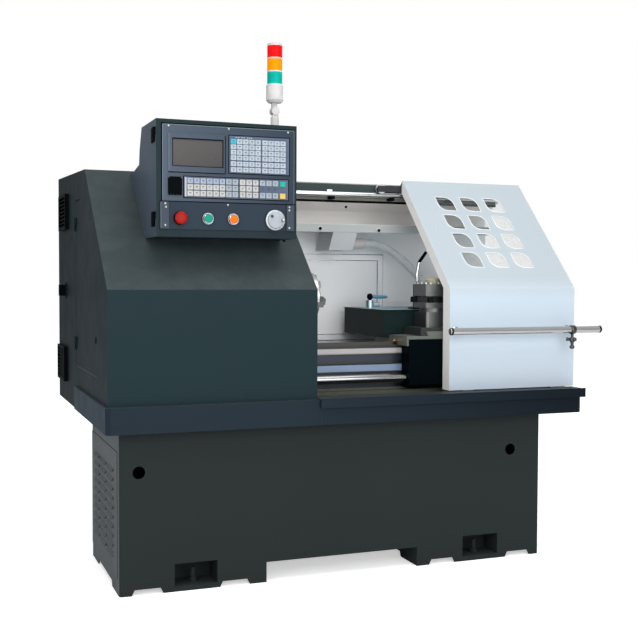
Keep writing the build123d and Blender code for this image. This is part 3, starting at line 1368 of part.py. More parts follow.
def cord_radii(route):
    """The arc at each inner point: 0.45 of the shorter run over the tangent of half the turn."""
    radii = []
    for before, here, after in zip(route, route[1:], route[2:]):
        run_in = Vector(*here) - Vector(*before)
        run_out = Vector(*after) - Vector(*here)
        half_turn = math.radians(run_in.get_angle(run_out)) / 2
        radii.append(0.45 * min(run_in.length, run_out.length) / math.tan(half_turn))
    return radii


conduit_radii = cord_radii(conduit_route)
print("conduit radii", [round(radius) for radius in conduit_radii])
with BuildPart() as conduit:
    with BuildLine() as route_line:
        FilletPolyline(*conduit_route, radius=conduit_radii)
    with BuildSketch(Plane(origin=conduit_start, z_dir=route_line.wire() % 0)) as tube_section:
        Circle(conduit_radius)
    sweep(path=route_line.wire())
print("conduit volume over section times length",
      round(conduit.part.volume / (math.pi * conduit_radius ** 2 * route_line.wire().length), 4))
conduit.part.label = "conduit"
export_step(conduit.part, "parts/conduit.step")

# Feed screw along the bed, its bearing housings and its drive
z_motor_left = bed_left - z_motor_plate - z_motor_length
z_plate_left = bed_left - z_motor_plate
z_housing_left = cover_right - 80.0
z_end_left = bed_right - 40.0
z_screw_start = z_plate_left - 30.0
with BuildPart() as z_screw:
    rod((z_screw_start, z_screw_y, z_screw_z), along_x, z_end_left + 15.0 - z_screw_start, z_screw_radius)
z_screw.part.label = "z_screw"
export_step(z_screw.part, "parts/z_screw.step")

with BuildPart() as z_drive:
    housing_back = bed_front + 2.0
    housing_top = bed_top - 97.0 + way_rib_height
    housing_bottom = tray_floor + foot_height + 6.0
    half = z_motor_size / 2
    for left, length in ((z_housing_left, z_bearing_length), (z_end_left, z_end_block)):
        block(left, left + length, z_screw_y - 30.0, housing_back, housing_bottom, housing_top)
    block(z_plate_left, bed_left, z_screw_y - half, bed_front + 60.0, z_screw_z - half, z_screw_z + half)
    block(z_motor_left, z_plate_left, z_screw_y - half, z_screw_y + half, z_screw_z - half, z_screw_z + half)
    rod((z_screw_start - 1.0, z_screw_y, z_screw_z), along_x, z_end_left + 17.0 - z_screw_start,
        z_screw_radius + running_gap, Mode.SUBTRACT)
z_drive.part.label = "z_drive"
export_step(z_drive.part, "parts/z_drive.step")

# Apron that hangs from the saddle round the feed screw
apron_left = saddle_left + 8.0
apron_front = saddle_front - 4.0
apron_back = apron_front + apron_depth
with BuildPart() as apron:
    apron_bottom = saddle_bottom - apron_height
    outline_points = ((apron_front, apron_bottom + 12.0), (apron_front, saddle_bottom),
                      (apron_back, saddle_bottom), (apron_back, apron_bottom),
                      (apron_front + 12.0, apron_bottom))
    extrude(side_outline(outline_points, apron_left), amount=apron_length)
    block(apron_left, apron_left + apron_length, apron_front, saddle_front, saddle_bottom, saddle_top - 11.0)
    rod((apron_left - 1.0, z_screw_y, z_screw_z), along_x, apron_length + 2.0, z_screw_radius + seat_gap,
        Mode.SUBTRACT)
apron.part.label = "apron"
export_step(apron.part, "parts/apron.step")

# Cross screw, in its groove in the saddle
with BuildPart() as x_screw:
    rod((saddle_x, saddle_front + 14.0, screw_z), along_y, saddle_back + 34.0 - saddle_front - 14.0,
        x_screw_radius)
x_screw.part.label = "x_screw"
export_step(x_screw.part, "parts/x_screw.step")

# Cross slide with its dovetail groove and the nut of the cross screw
slide_bottom = saddle_top + seat_gap
slide_y0 = tray_front + slide_front
slide_y1 = slide_y0 + slide_length
nut_front = axis_y - 70.0
with BuildPart() as cross_slide:
    half = slide_width / 2
    foot = dovetail_width / 2 + 0.5
    section = ((saddle_x - half, slide_bottom), (saddle_x - half, slide_top), (saddle_x + half, slide_top),
               (saddle_x + half, slide_bottom), (saddle_x + foot, slide_bottom),
               (saddle_x + foot + dovetail_undercut, dovetail_top + seat_gap),
               (saddle_x - foot - dovetail_undercut, dovetail_top + seat_gap),
               (saddle_x - foot, slide_bottom))
    extrude(front_outline(section, slide_y1), amount=slide_length)
    block(saddle_x - 11.0, saddle_x + 11.0, nut_front, nut_front + 40.0, screw_z - x_screw_radius - 0.5,
          dovetail_top + 2.0)
    rod((saddle_x, nut_front - 1.0, screw_z), along_y, 42.0, x_screw_radius + running_gap, Mode.SUBTRACT)
cross_slide.part.label = "cross_slide"
export_step(cross_slide.part, "parts/cross_slide.step")

# Sheet guard over the cross slide, carried on four posts
guard_left = saddle_left - 23.0
guard_right = guard_left + guard_length
guard_y0 = tray_front + guard_front
guard_y1 = guard_y0 + guard_depth
guard_bottom = guard_top - guard_height
with BuildPart() as slide_cover:
    block(guard_left, guard_right, guard_y0, guard_y1, guard_bottom, guard_top - sheet)
    block(guard_left + sheet, guard_right - sheet, guard_y0 + sheet, guard_y1 - sheet, guard_bottom - 1.0,
          guard_top - 2 * sheet, Mode.SUBTRACT)
    block(saddle_left - 3.0, saddle_right + 3.0, guard_y0 - 1.0, guard_y1 + 1.0, guard_bottom - 1.0,
          saddle_top + 3.0, Mode.SUBTRACT)
    block(saddle_x - slide_width / 2 - 2.0, saddle_x + slide_width / 2 + 2.0, guard_y0 - 1.0, guard_y1 + 1.0,
          guard_bottom - 1.0, slide_top + 1.0, Mode.SUBTRACT)
    block(guard_left - guard_lid_overhang, guard_right + 2.0, guard_y0 - guard_lid_overhang, guard_y1,
          guard_top - sheet, guard_top)
    for x in (saddle_x - slide_width / 2 + 14.0, saddle_x + slide_width / 2 - 30.0):
        for y in (guard_y0 + 14.0, slide_y1 - 30.0):
            block(x, x + 16.0, y, y + 16.0, slide_top, guard_top - sheet)
slide_cover.part.label = "slide_cover"
export_step(slide_cover.part, "parts/slide_cover.step")

# Four-way turret on the front of the cross slide
turret_z = slide_top + turret_base_height
tool_z = axis_z - tool_size
with BuildPart() as turret_base:
    with BuildSketch(Plane.XY.offset(slide_top)) as plan:
        with Locations((saddle_x, turret_y)):
            RectangleRounded(turret_size, turret_size, 10.0)
    extrude(amount=turret_base_height - 14.0)
    rod((saddle_x, turret_y, turret_z - 14.0), along_z, 14.0, turret_size / 2 - 4.0)
    rod((saddle_x, turret_y, turret_z), along_z, 40.0, 16.0)
turret_base.part.label = "turret_base"
export_step(turret_base.part, "parts/turret_base.step")

with BuildPart() as turret_head:
    head_z = turret_z + seat_gap
    head_top = head_z + turret_height
    with BuildSketch(Plane.XY.offset(head_z)) as plan:
        with Locations((saddle_x, turret_y)):
            Rectangle(turret_size, turret_size)
        chamfer(plan.vertices(), 5.0)
    extrude(amount=turret_height)
    half = turret_size / 2
    for number in range(4):
        turn = math.radians(90.0 * number)
        side = Plane(origin=(saddle_x, turret_y, tool_z), x_dir=(math.cos(turn), math.sin(turn), 0),
                     z_dir=along_z)
        with BuildSketch(side) as slot:
            with Locations((0, -half + tool_slot_depth / 2)):
                Rectangle(turret_size + 2.0, tool_slot_depth)
        extrude(slot.sketch, amount=tool_size + 3.0, mode=Mode.SUBTRACT)
    rod((saddle_x, turret_y, head_z - 1.0), along_z, 42.0, 16.0 + running_gap, Mode.SUBTRACT)
    cap = ((0, 0), (0, turret_cap_radius), (turret_cap_height - 8.0, turret_cap_radius),
           (turret_cap_height, turret_cap_radius - 10.0), (turret_cap_height, 0))
    turned(cap, (saddle_x, turret_y, head_top), along_z)
turret_head.part.label = "turret_head"
export_step(turret_head.part, "parts/turret_head.step")

# One turning tool in each side of the turret
with BuildPart() as cutting_tools:
    for number in range(4):
        turn = math.radians(90.0 * number)
        side = Plane(origin=(saddle_x, turret_y, tool_z), x_dir=(math.cos(turn), math.sin(turn), 0),
                     z_dir=along_z)
        near = -half + 1.0
        shank = ((-half + 26.0, near), (half + tool_overhang - 8.0, near), (half + tool_overhang, near + 3.0),
                 (half + tool_overhang - 10.0, near + tool_size), (-half + 26.0, near + tool_size))
        with BuildSketch(side) as tool:
            with BuildLine():
                Polyline(*shank, close=True)
            make_face()
        extrude(tool.sketch, amount=tool_size)
cutting_tools.part.label = "cutting_tools"
export_step(cutting_tools.part, "parts/cutting_tools.step")

# Coolant nozzle on its bracket, and the valve body
nozzle_x = saddle_x - 12.0
nozzle_y = turret_y + 100.0
valve_x = saddle_x - 134.0
valve_y = tray_front + 470.0
with BuildPart() as coolant_fittings:
    block(nozzle_x - 24.0, nozzle_x + 24.0, nozzle_y - 8.0, nozzle_y + 30.0, guard_top, guard_top + 8.0)
    block(nozzle_x - 16.0, nozzle_x + 16.0, nozzle_y - 6.0, nozzle_y + 6.0, guard_top + 8.0, guard_top + 92.0)
    with BuildLine() as pipe_line:
        FilletPolyline((nozzle_x, nozzle_y, guard_top + 60.0), (nozzle_x - 3.0, nozzle_y, guard_top + 128.0),
                       (nozzle_x + 5.0, nozzle_y, guard_top + 172.0),
                       (nozzle_x + 34.0, nozzle_y, guard_top + 210.0), radius=22.0)
    with BuildSketch(Plane(origin=(nozzle_x, nozzle_y, guard_top + 60.0),
                           z_dir=pipe_line.wire() % 0)) as pipe_section:
        Circle(nozzle_radius)
    sweep(path=pipe_line.wire())
    rod((valve_x, valve_y, guard_top), along_z, valve_height, valve_radius)
    rod((valve_x, valve_y, guard_top + 14.0), (1, 0, 0), 40.0, 9.0)
coolant_fittings.part.label = "coolant_fittings"
export_step(coolant_fittings.part, "parts/coolant_fittings.step")

with BuildPart() as valve_lever:
    lever_z = guard_top + valve_height + seat_gap
    rod((valve_x, valve_y, lever_z), along_z, 14.0, 12.0)
    grip = ((valve_x, valve_y - 5.0), (valve_x + lever_length * 0.7, valve_y - 30.0),
            (valve_x + lever_length * 0.7 + 4.0, valve_y - 20.0),
            (valve_x, valve_y + 6.0))
    extrude(plan_outline(grip, lever_z + 4.0), amount=lever_thickness)
valve_lever.part.label = "valve_lever"
export_step(valve_lever.part, "parts/valve_lever.step")

# Tailstock on the right end of the bed
tailstock_right = bed_right - tailstock_right_inset + 20.0
tailstock_left = tailstock_right - tailstock_length
with BuildPart() as tailstock_body:
    base = ((bed_front, bed_top + seat_gap), (vee_y - vee_width / 2 - 0.6, bed_top + seat_gap),
            (vee_y, bed_top + vee_height + 0.6), (vee_y + vee_width / 2 + 0.6, bed_top + seat_gap),
            (bed_back, bed_top + seat_gap), (bed_back, bed_top + 48.0),
            (axis_y + tailstock_barrel_radius, axis_z - 60.0),
            (axis_y + tailstock_barrel_radius, axis_z), (axis_y - tailstock_barrel_radius, axis_z),
            (axis_y - tailstock_barrel_radius, axis_z - 60.0), (bed_front, bed_top + 48.0))
    extrude(side_outline(base, tailstock_left), amount=tailstock_length)
    rod((tailstock_left, axis_y, axis_z), along_x, tailstock_length, tailstock_barrel_radius)
    rod((tailstock_left - 1.0, axis_y, axis_z), along_x, tailstock_length - 20.0, quill_radius + running_gap,
        Mode.SUBTRACT)
    rod((tailstock_right - 25.0, axis_y, axis_z), along_x, 30.0, 8.0 + running_gap, Mode.SUBTRACT)
tailstock_body.part.label = "tailstock_body"
export_step(tailstock_body.part, "parts/tailstock_body.step")

with BuildPart() as quill:
    quill_left = tailstock_left - quill_reach
    quill_length = tailstock_right - 25.0 - quill_left
    profile = ((-32.0, 0), (0, 16.0), (0, quill_radius), (quill_length, quill_radius), (quill_length, 12.0),
               (90.0, 12.0), (90.0, 0))
    turned(profile, (quill_left, axis_y, axis_z), along_x)
quill.part.label = "quill"
export_step(quill.part, "parts/quill.step")

with BuildPart() as tailstock_wheel:
    rod((tailstock_right - 22.0, axis_y, axis_z), along_x, 22.0 + seat_gap + 8.0, 8.0)
    rod((tailstock_right + seat_gap, axis_y, axis_z), along_x, 30.0, 20.0)
    wheel_x = tailstock_right + seat_gap + 18.0
    rim = [(wheel_rim_radius * math.cos(math.radians(45.0 * corner)),
            wheel_radius - wheel_rim_radius + wheel_rim_radius * math.sin(math.radians(45.0 * corner)))
           for corner in range(8)]
    turned(rim, (wheel_x, axis_y, axis_z), along_x)
    for number in range(3):
        turn = math.radians(120.0 * number + 90.0)
        rod((wheel_x, axis_y + 15.0 * math.cos(turn), axis_z + 15.0 * math.sin(turn)),
            (0, math.cos(turn), math.sin(turn)), wheel_radius - wheel_rim_radius - 15.0, 6.0)
    rod((wheel_x + 4.0, axis_y, axis_z + wheel_radius - wheel_rim_radius), along_x, 42.0, 6.0)
tailstock_wheel.part.label = "tailstock_wheel"
export_step(tailstock_wheel.part, "parts/tailstock_wheel.step")

with BuildPart() as quill_lever:
    clamp_x = tailstock_left + 45.0
    clamp_z = axis_z + tailstock_barrel_radius + seat_gap
    rod((clamp_x, axis_y, clamp_z), along_z, 14.0, 11.0)
    rod((clamp_x, axis_y, clamp_z + 8.0), (0, -0.8, 0.6), 62.0, 5.0)
    with Locations((clamp_x, axis_y - 0.8 * 66.0, clamp_z + 8.0 + 0.6 * 66.0)):
        Sphere(10.0)
quill_lever.part.label = "quill_lever"
export_step(quill_lever.part, "parts/quill_lever.step")

# Sliding door: folded skin with leaf-shaped windows, side flanges and two hangers
slope_length = math.hypot(door_slope_depth, door_slope_rise)
slope_y = door_slope_depth / slope_length
slope_z = door_slope_rise / slope_length
slope_plane = Plane(origin=(door_left, door_front, door_knee), x_dir=along_x, z_dir=(0, -slope_z, slope_y))
window_columns_x = [window_inset + window_pitch_x * column for column in range(window_columns)]
window_rows_z = [window_first + window_pitch * row for row in range(window_rows)]
hanger_front = rail_y - roller_width / 2 - 3.0 - hanger_thickness
hanger_z0 = roller_z - 12.0
hanger_z1 = roller_z + 11.0
left_hanger = door_left - hanger_left_reach
right_hanger = door_right - sheet - hanger_length
axle_places = (left_hanger + 18.0, right_hanger + 18.0)
with BuildPart() as sliding_door:
    door_fold = ((door_front, door_bottom), (door_front, door_knee), (door_crest_y, door_crest_z))
    extrude(folded(door_fold, door_bend_radius, sheet, door_left), amount=door_length)
    cut_back = door_flange * slope_z
    flange_outline = ((door_front + 1.0, door_bottom), (door_front + 1.0, door_knee - 1.0),
                      (door_crest_y + 0.7, door_crest_z - 0.7),
                      (door_crest_y + cut_back * slope_z, door_crest_z - cut_back * slope_y),
                      (door_front + door_flange, door_knee), (door_front + door_flange, door_bottom))
    for x in (door_left, door_right - sheet):
        extrude(side_outline(flange_outline, x), amount=sheet)
    with BuildSketch(slope_plane) as windows:
        for x in window_columns_x:
            for low in window_rows_z:
                with BuildLine():
                    right = x + window_width
                    high = low + window_height
                    Line((x, high), (right - window_round, high))
                    RadiusArc((right - window_round, high), (right, high - window_round), window_round)
                    Line((right, high - window_round), (right, low))
                    Line((right, low), (x + window_round, low))
                    RadiusArc((x + window_round, low), (x, low + window_round), window_round)
                    Line((x, low + window_round), (x, high))
                make_face()
    extrude(windows.sketch, amount=6.0, both=True, mode=Mode.SUBTRACT)
    for x0 in (left_hanger, right_hanger):
        block(x0, x0 + hanger_length, hanger_front, hanger_front + hanger_thickness, hanger_z0, hanger_z1)
    for x in axle_places:
        rod((x, hanger_front + hanger_thickness, roller_z), along_y, roller_width + 6.0, axle_radius)
        rod((x, hanger_front + hanger_thickness, roller_z), along_y, 3.0 - seat_gap, axle_radius + 3.0)
        rod((x, rail_y + roller_width / 2 + seat_gap, roller_z), along_y, 3.0, axle_radius + 2.0)
    # Guide shoes that straddle the lip of the track
    for x in (door_left + 60.0, door_right - 90.0):
        block(x, x + 40.0, door_front + sheet, track_back + seat_gap + track_wall, door_bottom,
              door_bottom + 14.0)
        block(x, x + 40.0, track_back + seat_gap, track_back + seat_gap + track_wall,
              tray_top + track_wall - track_lip_drop + 4.0, door_bottom)
sliding_door.part.label = "sliding_door"
export_step(sliding_door.part, "parts/sliding_door.step")

with BuildPart() as window_panes:
    with BuildSketch(slope_plane.offset(-sheet)) as pane:
        pane_x0 = window_columns_x[0] - pane_margin
        pane_x1 = window_columns_x[-1] + window_width + pane_margin
        pane_z0 = window_rows_z[0] - pane_margin
        pane_z1 = window_rows_z[-1] + window_height + pane_margin
        with Locations(((pane_x0 + pane_x1) / 2, (pane_z0 + pane_z1) / 2)):
            Rectangle(pane_x1 - pane_x0, pane_z1 - pane_z0)
    extrude(pane.sketch, amount=-pane_thickness)
window_panes.part.label = "window_panes"
export_step(window_panes.part, "parts/window_panes.step")

# Long handle bar across the door
bar_y = tray_front + bar_setback
bar_z = tray_top + bar_height
bar_left = door_left - bar_left_reach
bar_right = tray_right + bar_overrun
with BuildPart() as handle_bar:
    rod((bar_left, bar_y, bar_z), along_x, bar_right - bar_left, bar_radius)
    fillet(handle_bar.edges().filter_by(GeomType.CIRCLE), 4.0)
    for x in (door_left + standoff_inset_left, door_right - standoff_inset_right):
        rod((x, bar_y, bar_z), along_y, door_front - bar_y, standoff_radius)
    # Clamp with a ball knob under the right end
    knob_x = door_right - standoff_inset_right
    rod((knob_x - 18.0, bar_y, bar_z - bar_radius - 26.0), along_z, 26.0 + bar_radius, 9.0)
    rod((knob_x - 30.0, bar_y, bar_z - bar_radius - 34.0), along_x, 44.0, 11.0)
    with Locations((knob_x + 22.0, bar_y, bar_z - bar_radius - 34.0)):
        Sphere(14.0)
handle_bar.part.label = "handle_bar"
export_step(handle_bar.part, "parts/handle_bar.step")

# Grooved rollers that carry the door on its rail
groove_depth = 3.0 + seat_gap
for side_name, x in zip(("left", "right"), axle_places):
    with BuildPart() as roller:
        half = roller_width / 2
        side_groove = ((7.3, roller_radius), (6.0, roller_radius - 1.4),
                       (3.0, roller_radius - groove_depth + 0.4))
        groove = [(-half, axle_radius + running_gap), (-half, roller_radius)]
        groove += [(-across, radius) for across, radius in side_groove]
        groove += [(0, roller_radius - groove_depth)]
        groove += [(across, radius) for across, radius in side_groove[::-1]]
        groove += [(half, roller_radius), (half, axle_radius + running_gap)]
        turned(groove, (x, rail_y, roller_z), along_y)
    roller.part.label = f"roller_{side_name}"
    export_step(roller.part, f"parts/roller_{side_name}.step")
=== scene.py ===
"""Looks of the CNC turning lathe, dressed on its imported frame. Lengths are in metres."""
import bmesh
import bpy
import math
from mathutils import Matrix, Vector


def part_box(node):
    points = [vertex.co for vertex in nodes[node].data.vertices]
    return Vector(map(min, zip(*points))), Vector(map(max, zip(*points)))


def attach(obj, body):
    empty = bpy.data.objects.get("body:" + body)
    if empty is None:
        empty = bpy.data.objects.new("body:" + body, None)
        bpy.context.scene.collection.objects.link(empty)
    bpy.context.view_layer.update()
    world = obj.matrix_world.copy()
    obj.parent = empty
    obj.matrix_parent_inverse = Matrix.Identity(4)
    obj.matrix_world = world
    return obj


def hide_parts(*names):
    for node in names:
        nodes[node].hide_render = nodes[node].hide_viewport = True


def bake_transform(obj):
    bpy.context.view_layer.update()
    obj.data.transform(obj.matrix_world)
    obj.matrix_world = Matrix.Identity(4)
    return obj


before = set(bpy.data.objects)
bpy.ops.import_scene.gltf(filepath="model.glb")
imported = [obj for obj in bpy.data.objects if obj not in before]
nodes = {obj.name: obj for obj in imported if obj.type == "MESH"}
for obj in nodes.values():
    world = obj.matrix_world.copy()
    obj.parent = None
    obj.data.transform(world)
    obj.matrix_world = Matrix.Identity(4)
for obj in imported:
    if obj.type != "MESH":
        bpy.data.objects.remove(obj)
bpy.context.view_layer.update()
TO_FRONT, TO_RIGHT, UPWARD = (0, -1, 0), (1, 0, 0), (0, 0, 1)


# Camera, about a metre above the floor, to the left of the middle of the machine
def aim_camera(place, yaw, pitch, roll, lens):
    """Stands a level-held camera at a place and turns it."""
    forward = Vector((math.sin(yaw) * math.cos(pitch), math.cos(yaw) * math.cos(pitch), -math.sin(pitch)))
    right = Vector((math.cos(yaw), -math.sin(yaw), 0))
    up = right.cross(forward)
    held_right = math.cos(roll) * right + math.sin(roll) * up
    held_up = math.cos(roll) * up - math.sin(roll) * right
    turn = Matrix((held_right, held_up, -forward)).transposed().to_4x4()
    bpy.ops.object.select_all(action="DESELECT")
    bpy.ops.object.camera_add()
    camera = bpy.context.object
    camera.name = "viewer"
    camera.data.sensor_fit = "HORIZONTAL"
    camera.data.sensor_width = 36.0
    camera.data.lens = lens
    camera.matrix_world = Matrix.Translation(place) @ turn
    bpy.context.scene.camera = camera


CAMERA_PLACE = (-1.39415, -3.7210, 0.9995)
CAMERA_YAW, CAMERA_PITCH, CAMERA_ROLL = 0.366118, 0.041058, 0.004019
CAMERA_LENS = 58.48
aim_camera(CAMERA_PLACE, CAMERA_YAW, CAMERA_PITCH, CAMERA_ROLL, CAMERA_LENS)
bpy.context.scene.view_settings.view_transform = "Standard"


# Conduit route, from the collar on the duct down to the gland on the carriage
CONDUIT_RADIUS = 0.017
conduit_points = (
    (0.16865, 0.0235, 1.131), (0.21065, 0.0235, 1.131), (0.25265, 0.0215, 1.1345), (0.29465, 0.0165, 1.124),
    (0.33465, 0.0065, 1.104), (0.37065, -0.0085, 1.075), (0.40265, -0.0275, 1.04), (0.43165, -0.0495, 1.003),
    (0.45865, -0.0715, 0.964), (0.48065, -0.0885, 0.922), (0.49465, -0.0965, 0.88), (0.49465, -0.0965, 0.838))


# Shader groups shared by the finishes
def start_group(name, inputs, outputs):
    """A shader node group with named sockets."""
    group = bpy.data.node_groups.new(name, "ShaderNodeTree")
    for label, kind, value in inputs:
        socket = group.interface.new_socket(name=label, in_out="INPUT", socket_type=kind)
        if value is not None:
            socket.default_value = value
    for label, kind in outputs:
        group.interface.new_socket(name=label, in_out="OUTPUT", socket_type=kind)
    return group, group.nodes.new("NodeGroupInput"), group.nodes.new("NodeGroupOutput")


def join(tree, source, target):
    """Links two sockets."""
    tree.links.new(source, target)


def noise(tree, vector, scale, detail=3.0, roughness=0.5):
    """A noise texture on a vector socket."""
    texture = tree.nodes.new("ShaderNodeTexNoise")
    texture.inputs["Scale"].default_value = scale
    texture.inputs["Detail"].default_value = detail
    texture.inputs["Roughness"].default_value = roughness
    join(tree, vector, texture.inputs["Vector"])
    return texture.outputs["Fac"]


def remap(tree, value, low, high, to_low, to_high):
    """Spreads a value from one range to another, clamped."""
    ranger = tree.nodes.new("ShaderNodeMapRange")
    for socket, number in zip(("From Min", "From Max", "To Min", "To Max"), (low, high, to_low, to_high)):
        ranger.inputs[socket].default_value = number
    join(tree, value, ranger.inputs["Value"])
    return ranger.outputs["Result"]


def math_node(tree, kind, first, second):
    """A maths node; each side is a socket or a number."""
    node = tree.nodes.new("ShaderNodeMath")
    node.operation = kind
    for place, side in enumerate((first, second)):
        if isinstance(side, (int, float)):
            node.inputs[place].default_value = side
        else:
            join(tree, side, node.inputs[place])
    return node.outputs[0]


def blend_colours(tree, share, first, second):
    """Mixes two colours; each is a socket or four numbers."""
    mixer = tree.nodes.new("ShaderNodeMix")
    mixer.data_type = "RGBA"
    if isinstance(share, (int, float)):
        mixer.inputs[0].default_value = share
    else:
        join(tree, share, mixer.inputs[0])
    for place, side in ((6, first), (7, second)):
        if isinstance(side, (tuple, list)):
            mixer.inputs[place].default_value = side
        else:
            join(tree, side, mixer.inputs[place])
    return mixer.outputs[2]


def build_enamel_group():
    """Sprayed enamel: slow shifts of tone, fine orange peel, and upward faces blended towards a second
    colour, partly as dust and partly as painted light on tops.
    """
    group, given, result = start_group(
        "sprayed_enamel",
        (("Vector", "NodeSocketVector", None), ("Paint", "NodeSocketColor", (0.5, 0.5, 0.5, 1)),
         ("Tone shift", "NodeSocketFloat", 0.1), ("Gloss", "NodeSocketFloat", 0.4),
         ("Peel scale", "NodeSocketFloat", 400.0), ("Top light and dust", "NodeSocketFloat", 0.1),
         ("Top light and dust colour", "NodeSocketColor", (0.4, 0.4, 0.38, 1))),
        (("Colour", "NodeSocketColor"), ("Roughness", "NodeSocketFloat"), ("Height", "NodeSocketFloat")))
    vector = given.outputs["Vector"]
    slow = noise(group, vector, 2.2, 4.0, 0.6)
    hue = group.nodes.new("ShaderNodeHueSaturation")
    join(group, given.outputs["Paint"], hue.inputs["Color"])
    swing = math_node(group, "SUBTRACT", slow, 0.5)
    swing = math_node(group, "MULTIPLY", swing, given.outputs["Tone shift"])
    swing = math_node(group, "MULTIPLY", swing, 2.0)
    swing = math_node(group, "ADD", swing, 1.0)
    join(group, swing, hue.inputs["Value"])
    geometry = group.nodes.new("ShaderNodeNewGeometry")
    split = group.nodes.new("ShaderNodeSeparateXYZ")
    join(group, geometry.outputs["Normal"], split.inputs[0])
    # Upward faces blend towards the top light and dust colour: partly dust, partly painted light.
    lying = remap(group, split.outputs["Z"], 0.55, 1.0, 0.0, 1.0)
    patches = remap(group, noise(group, vector, 14.0, 6.0, 0.65), 0.4, 0.8, 0.6, 1.0)
    top_light_and_dust = math_node(group, "MULTIPLY", lying, patches)
    top_light_and_dust = math_node(group, "MULTIPLY", top_light_and_dust, given.outputs["Top light and dust"])
    join(group, blend_colours(group, top_light_and_dust, hue.outputs["Color"], given.outputs["Top light and dust colour"]),
         result.inputs["Colour"])
    smear = noise(group, vector, 9.0, 5.0, 0.6)
    rough = math_node(group, "SUBTRACT", smear, 0.5)
    rough = math_node(group, "MULTIPLY", rough, 0.22)
    rough = math_node(group, "ADD", rough, given.outputs["Gloss"])
    rough = math_node(group, "ADD", rough, math_node(group, "MULTIPLY", top_light_and_dust, 0.4))
    join(group, rough, result.inputs["Roughness"])
    texture = group.nodes.new("ShaderNodeTexNoise")
    texture.inputs["Detail"].default_value = 1.0
    join(group, vector, texture.inputs["Vector"])
    join(group, given.outputs["Peel scale"], texture.inputs["Scale"])
    join(group, texture.outputs["Fac"], result.inputs["Height"])
    return group


def build_cut_metal_group():
    """Bare metal with parallel tool marks along one axis and faint oil stains."""
    group, given, result = start_group(
        "cut_metal",
        (("Vector", "NodeSocketVector", None), ("Metal", "NodeSocketColor", (0.6, 0.6, 0.6, 1)),
         ("Stain", "NodeSocketFloat", 0.15), ("Gloss", "NodeSocketFloat", 0.3)),
        (("Colour", "NodeSocketColor"), ("Roughness", "NodeSocketFloat"), ("Height", "NodeSocketFloat")))
    vector = given.outputs["Vector"]
    marks = noise(group, vector, 6.0, 8.0, 0.7)
    stains = remap(group, noise(group, vector, 0.05, 3.0, 0.5), 0.4, 0.7, 0.0, 1.0)
    hue = group.nodes.new("ShaderNodeHueSaturation")
    join(group, given.outputs["Metal"], hue.inputs["Color"])
    tone = math_node(group, "MULTIPLY", math_node(group, "SUBTRACT", marks, 0.5), 0.35)
    tone = math_node(group, "ADD", tone, 1.0)
    tone = math_node(group, "SUBTRACT", tone, math_node(group, "MULTIPLY", stains, given.outputs["Stain"]))
    join(group, tone, hue.inputs["Value"])
    join(group, hue.outputs["Color"], result.inputs["Colour"])
    rough = math_node(group, "MULTIPLY", math_node(group, "SUBTRACT", marks, 0.5), 0.3)
    rough = math_node(group, "ADD", rough, given.outputs["Gloss"])
    join(group, rough, result.inputs["Roughness"])
    join(group, marks, result.inputs["Height"])
    return group


def build_moulded_group():
    """Moulded plastic: a very fine spark texture and slight shifts of tone."""
    group, given, result = start_group(
        "moulded_plastic",
        (("Vector", "NodeSocketVector", None), ("Plastic", "NodeSocketColor", (0.5, 0.5, 0.5, 1)),
         ("Gloss", "NodeSocketFloat", 0.3)),
        (("Colour", "NodeSocketColor"), ("Roughness", "NodeSocketFloat"), ("Height", "NodeSocketFloat")))
    vector = given.outputs["Vector"]
    hue = group.nodes.new("ShaderNodeHueSaturation")
    join(group, given.outputs["Plastic"], hue.inputs["Color"])
    join(group, remap(group, noise(group, vector, 30.0, 3.0), 0.3, 0.7, 0.93, 1.07), hue.inputs["Value"])
    join(group, hue.outputs["Color"], result.inputs["Colour"])
    rough = math_node(group, "MULTIPLY", math_node(group, "SUBTRACT", noise(group, vector, 60.0), 0.5), 0.15)
    join(group, math_node(group, "ADD", rough, given.outputs["Gloss"]), result.inputs["Roughness"])
    join(group, noise(group, vector, 2500.0, 1.0), result.inputs["Height"])
    return group


ENAMEL = build_enamel_group()
CUT_METAL = build_cut_metal_group()
MOULDED = build_moulded_group()


def start_material(name, stretch=(1, 1, 1)):
    """A material with its shader and an object-space mapping."""
    material = bpy.data.materials.new(name)
    material.use_nodes = True
    tree = material.node_tree
    shader = tree.nodes["Principled BSDF"]
    place = tree.nodes.new("ShaderNodeTexCoord")
    mapping = tree.nodes.new("ShaderNodeMapping")
    mapping.inputs["Scale"].default_value = stretch
    join(tree, place.outputs["Object"], mapping.inputs["Vector"])
    return material, tree, shader, mapping.outputs["Vector"]


def add_bump(tree, shader, height, depth):
    """Feeds a height to the shader's normal."""
    bump = tree.nodes.new("ShaderNodeBump")
    bump.inputs["Strength"].default_value = 1.0
    bump.inputs["Distance"].default_value = depth
    join(tree, height, bump.inputs["Height"])
    join(tree, bump.outputs["Normal"], shader.inputs["Normal"])


def use_group(tree, group, vector, values):
    """Places a shader group on a vector with its own values."""
    node = tree.nodes.new("ShaderNodeGroup")
    node.node_tree = group
    join(tree, vector, node.inputs["Vector"])
    for label, value in values.items():
        if isinstance(value, bpy.types.NodeSocket):
            join(tree, value, node.inputs[label])
        else:
            node.inputs[label].default_value = value
    return node


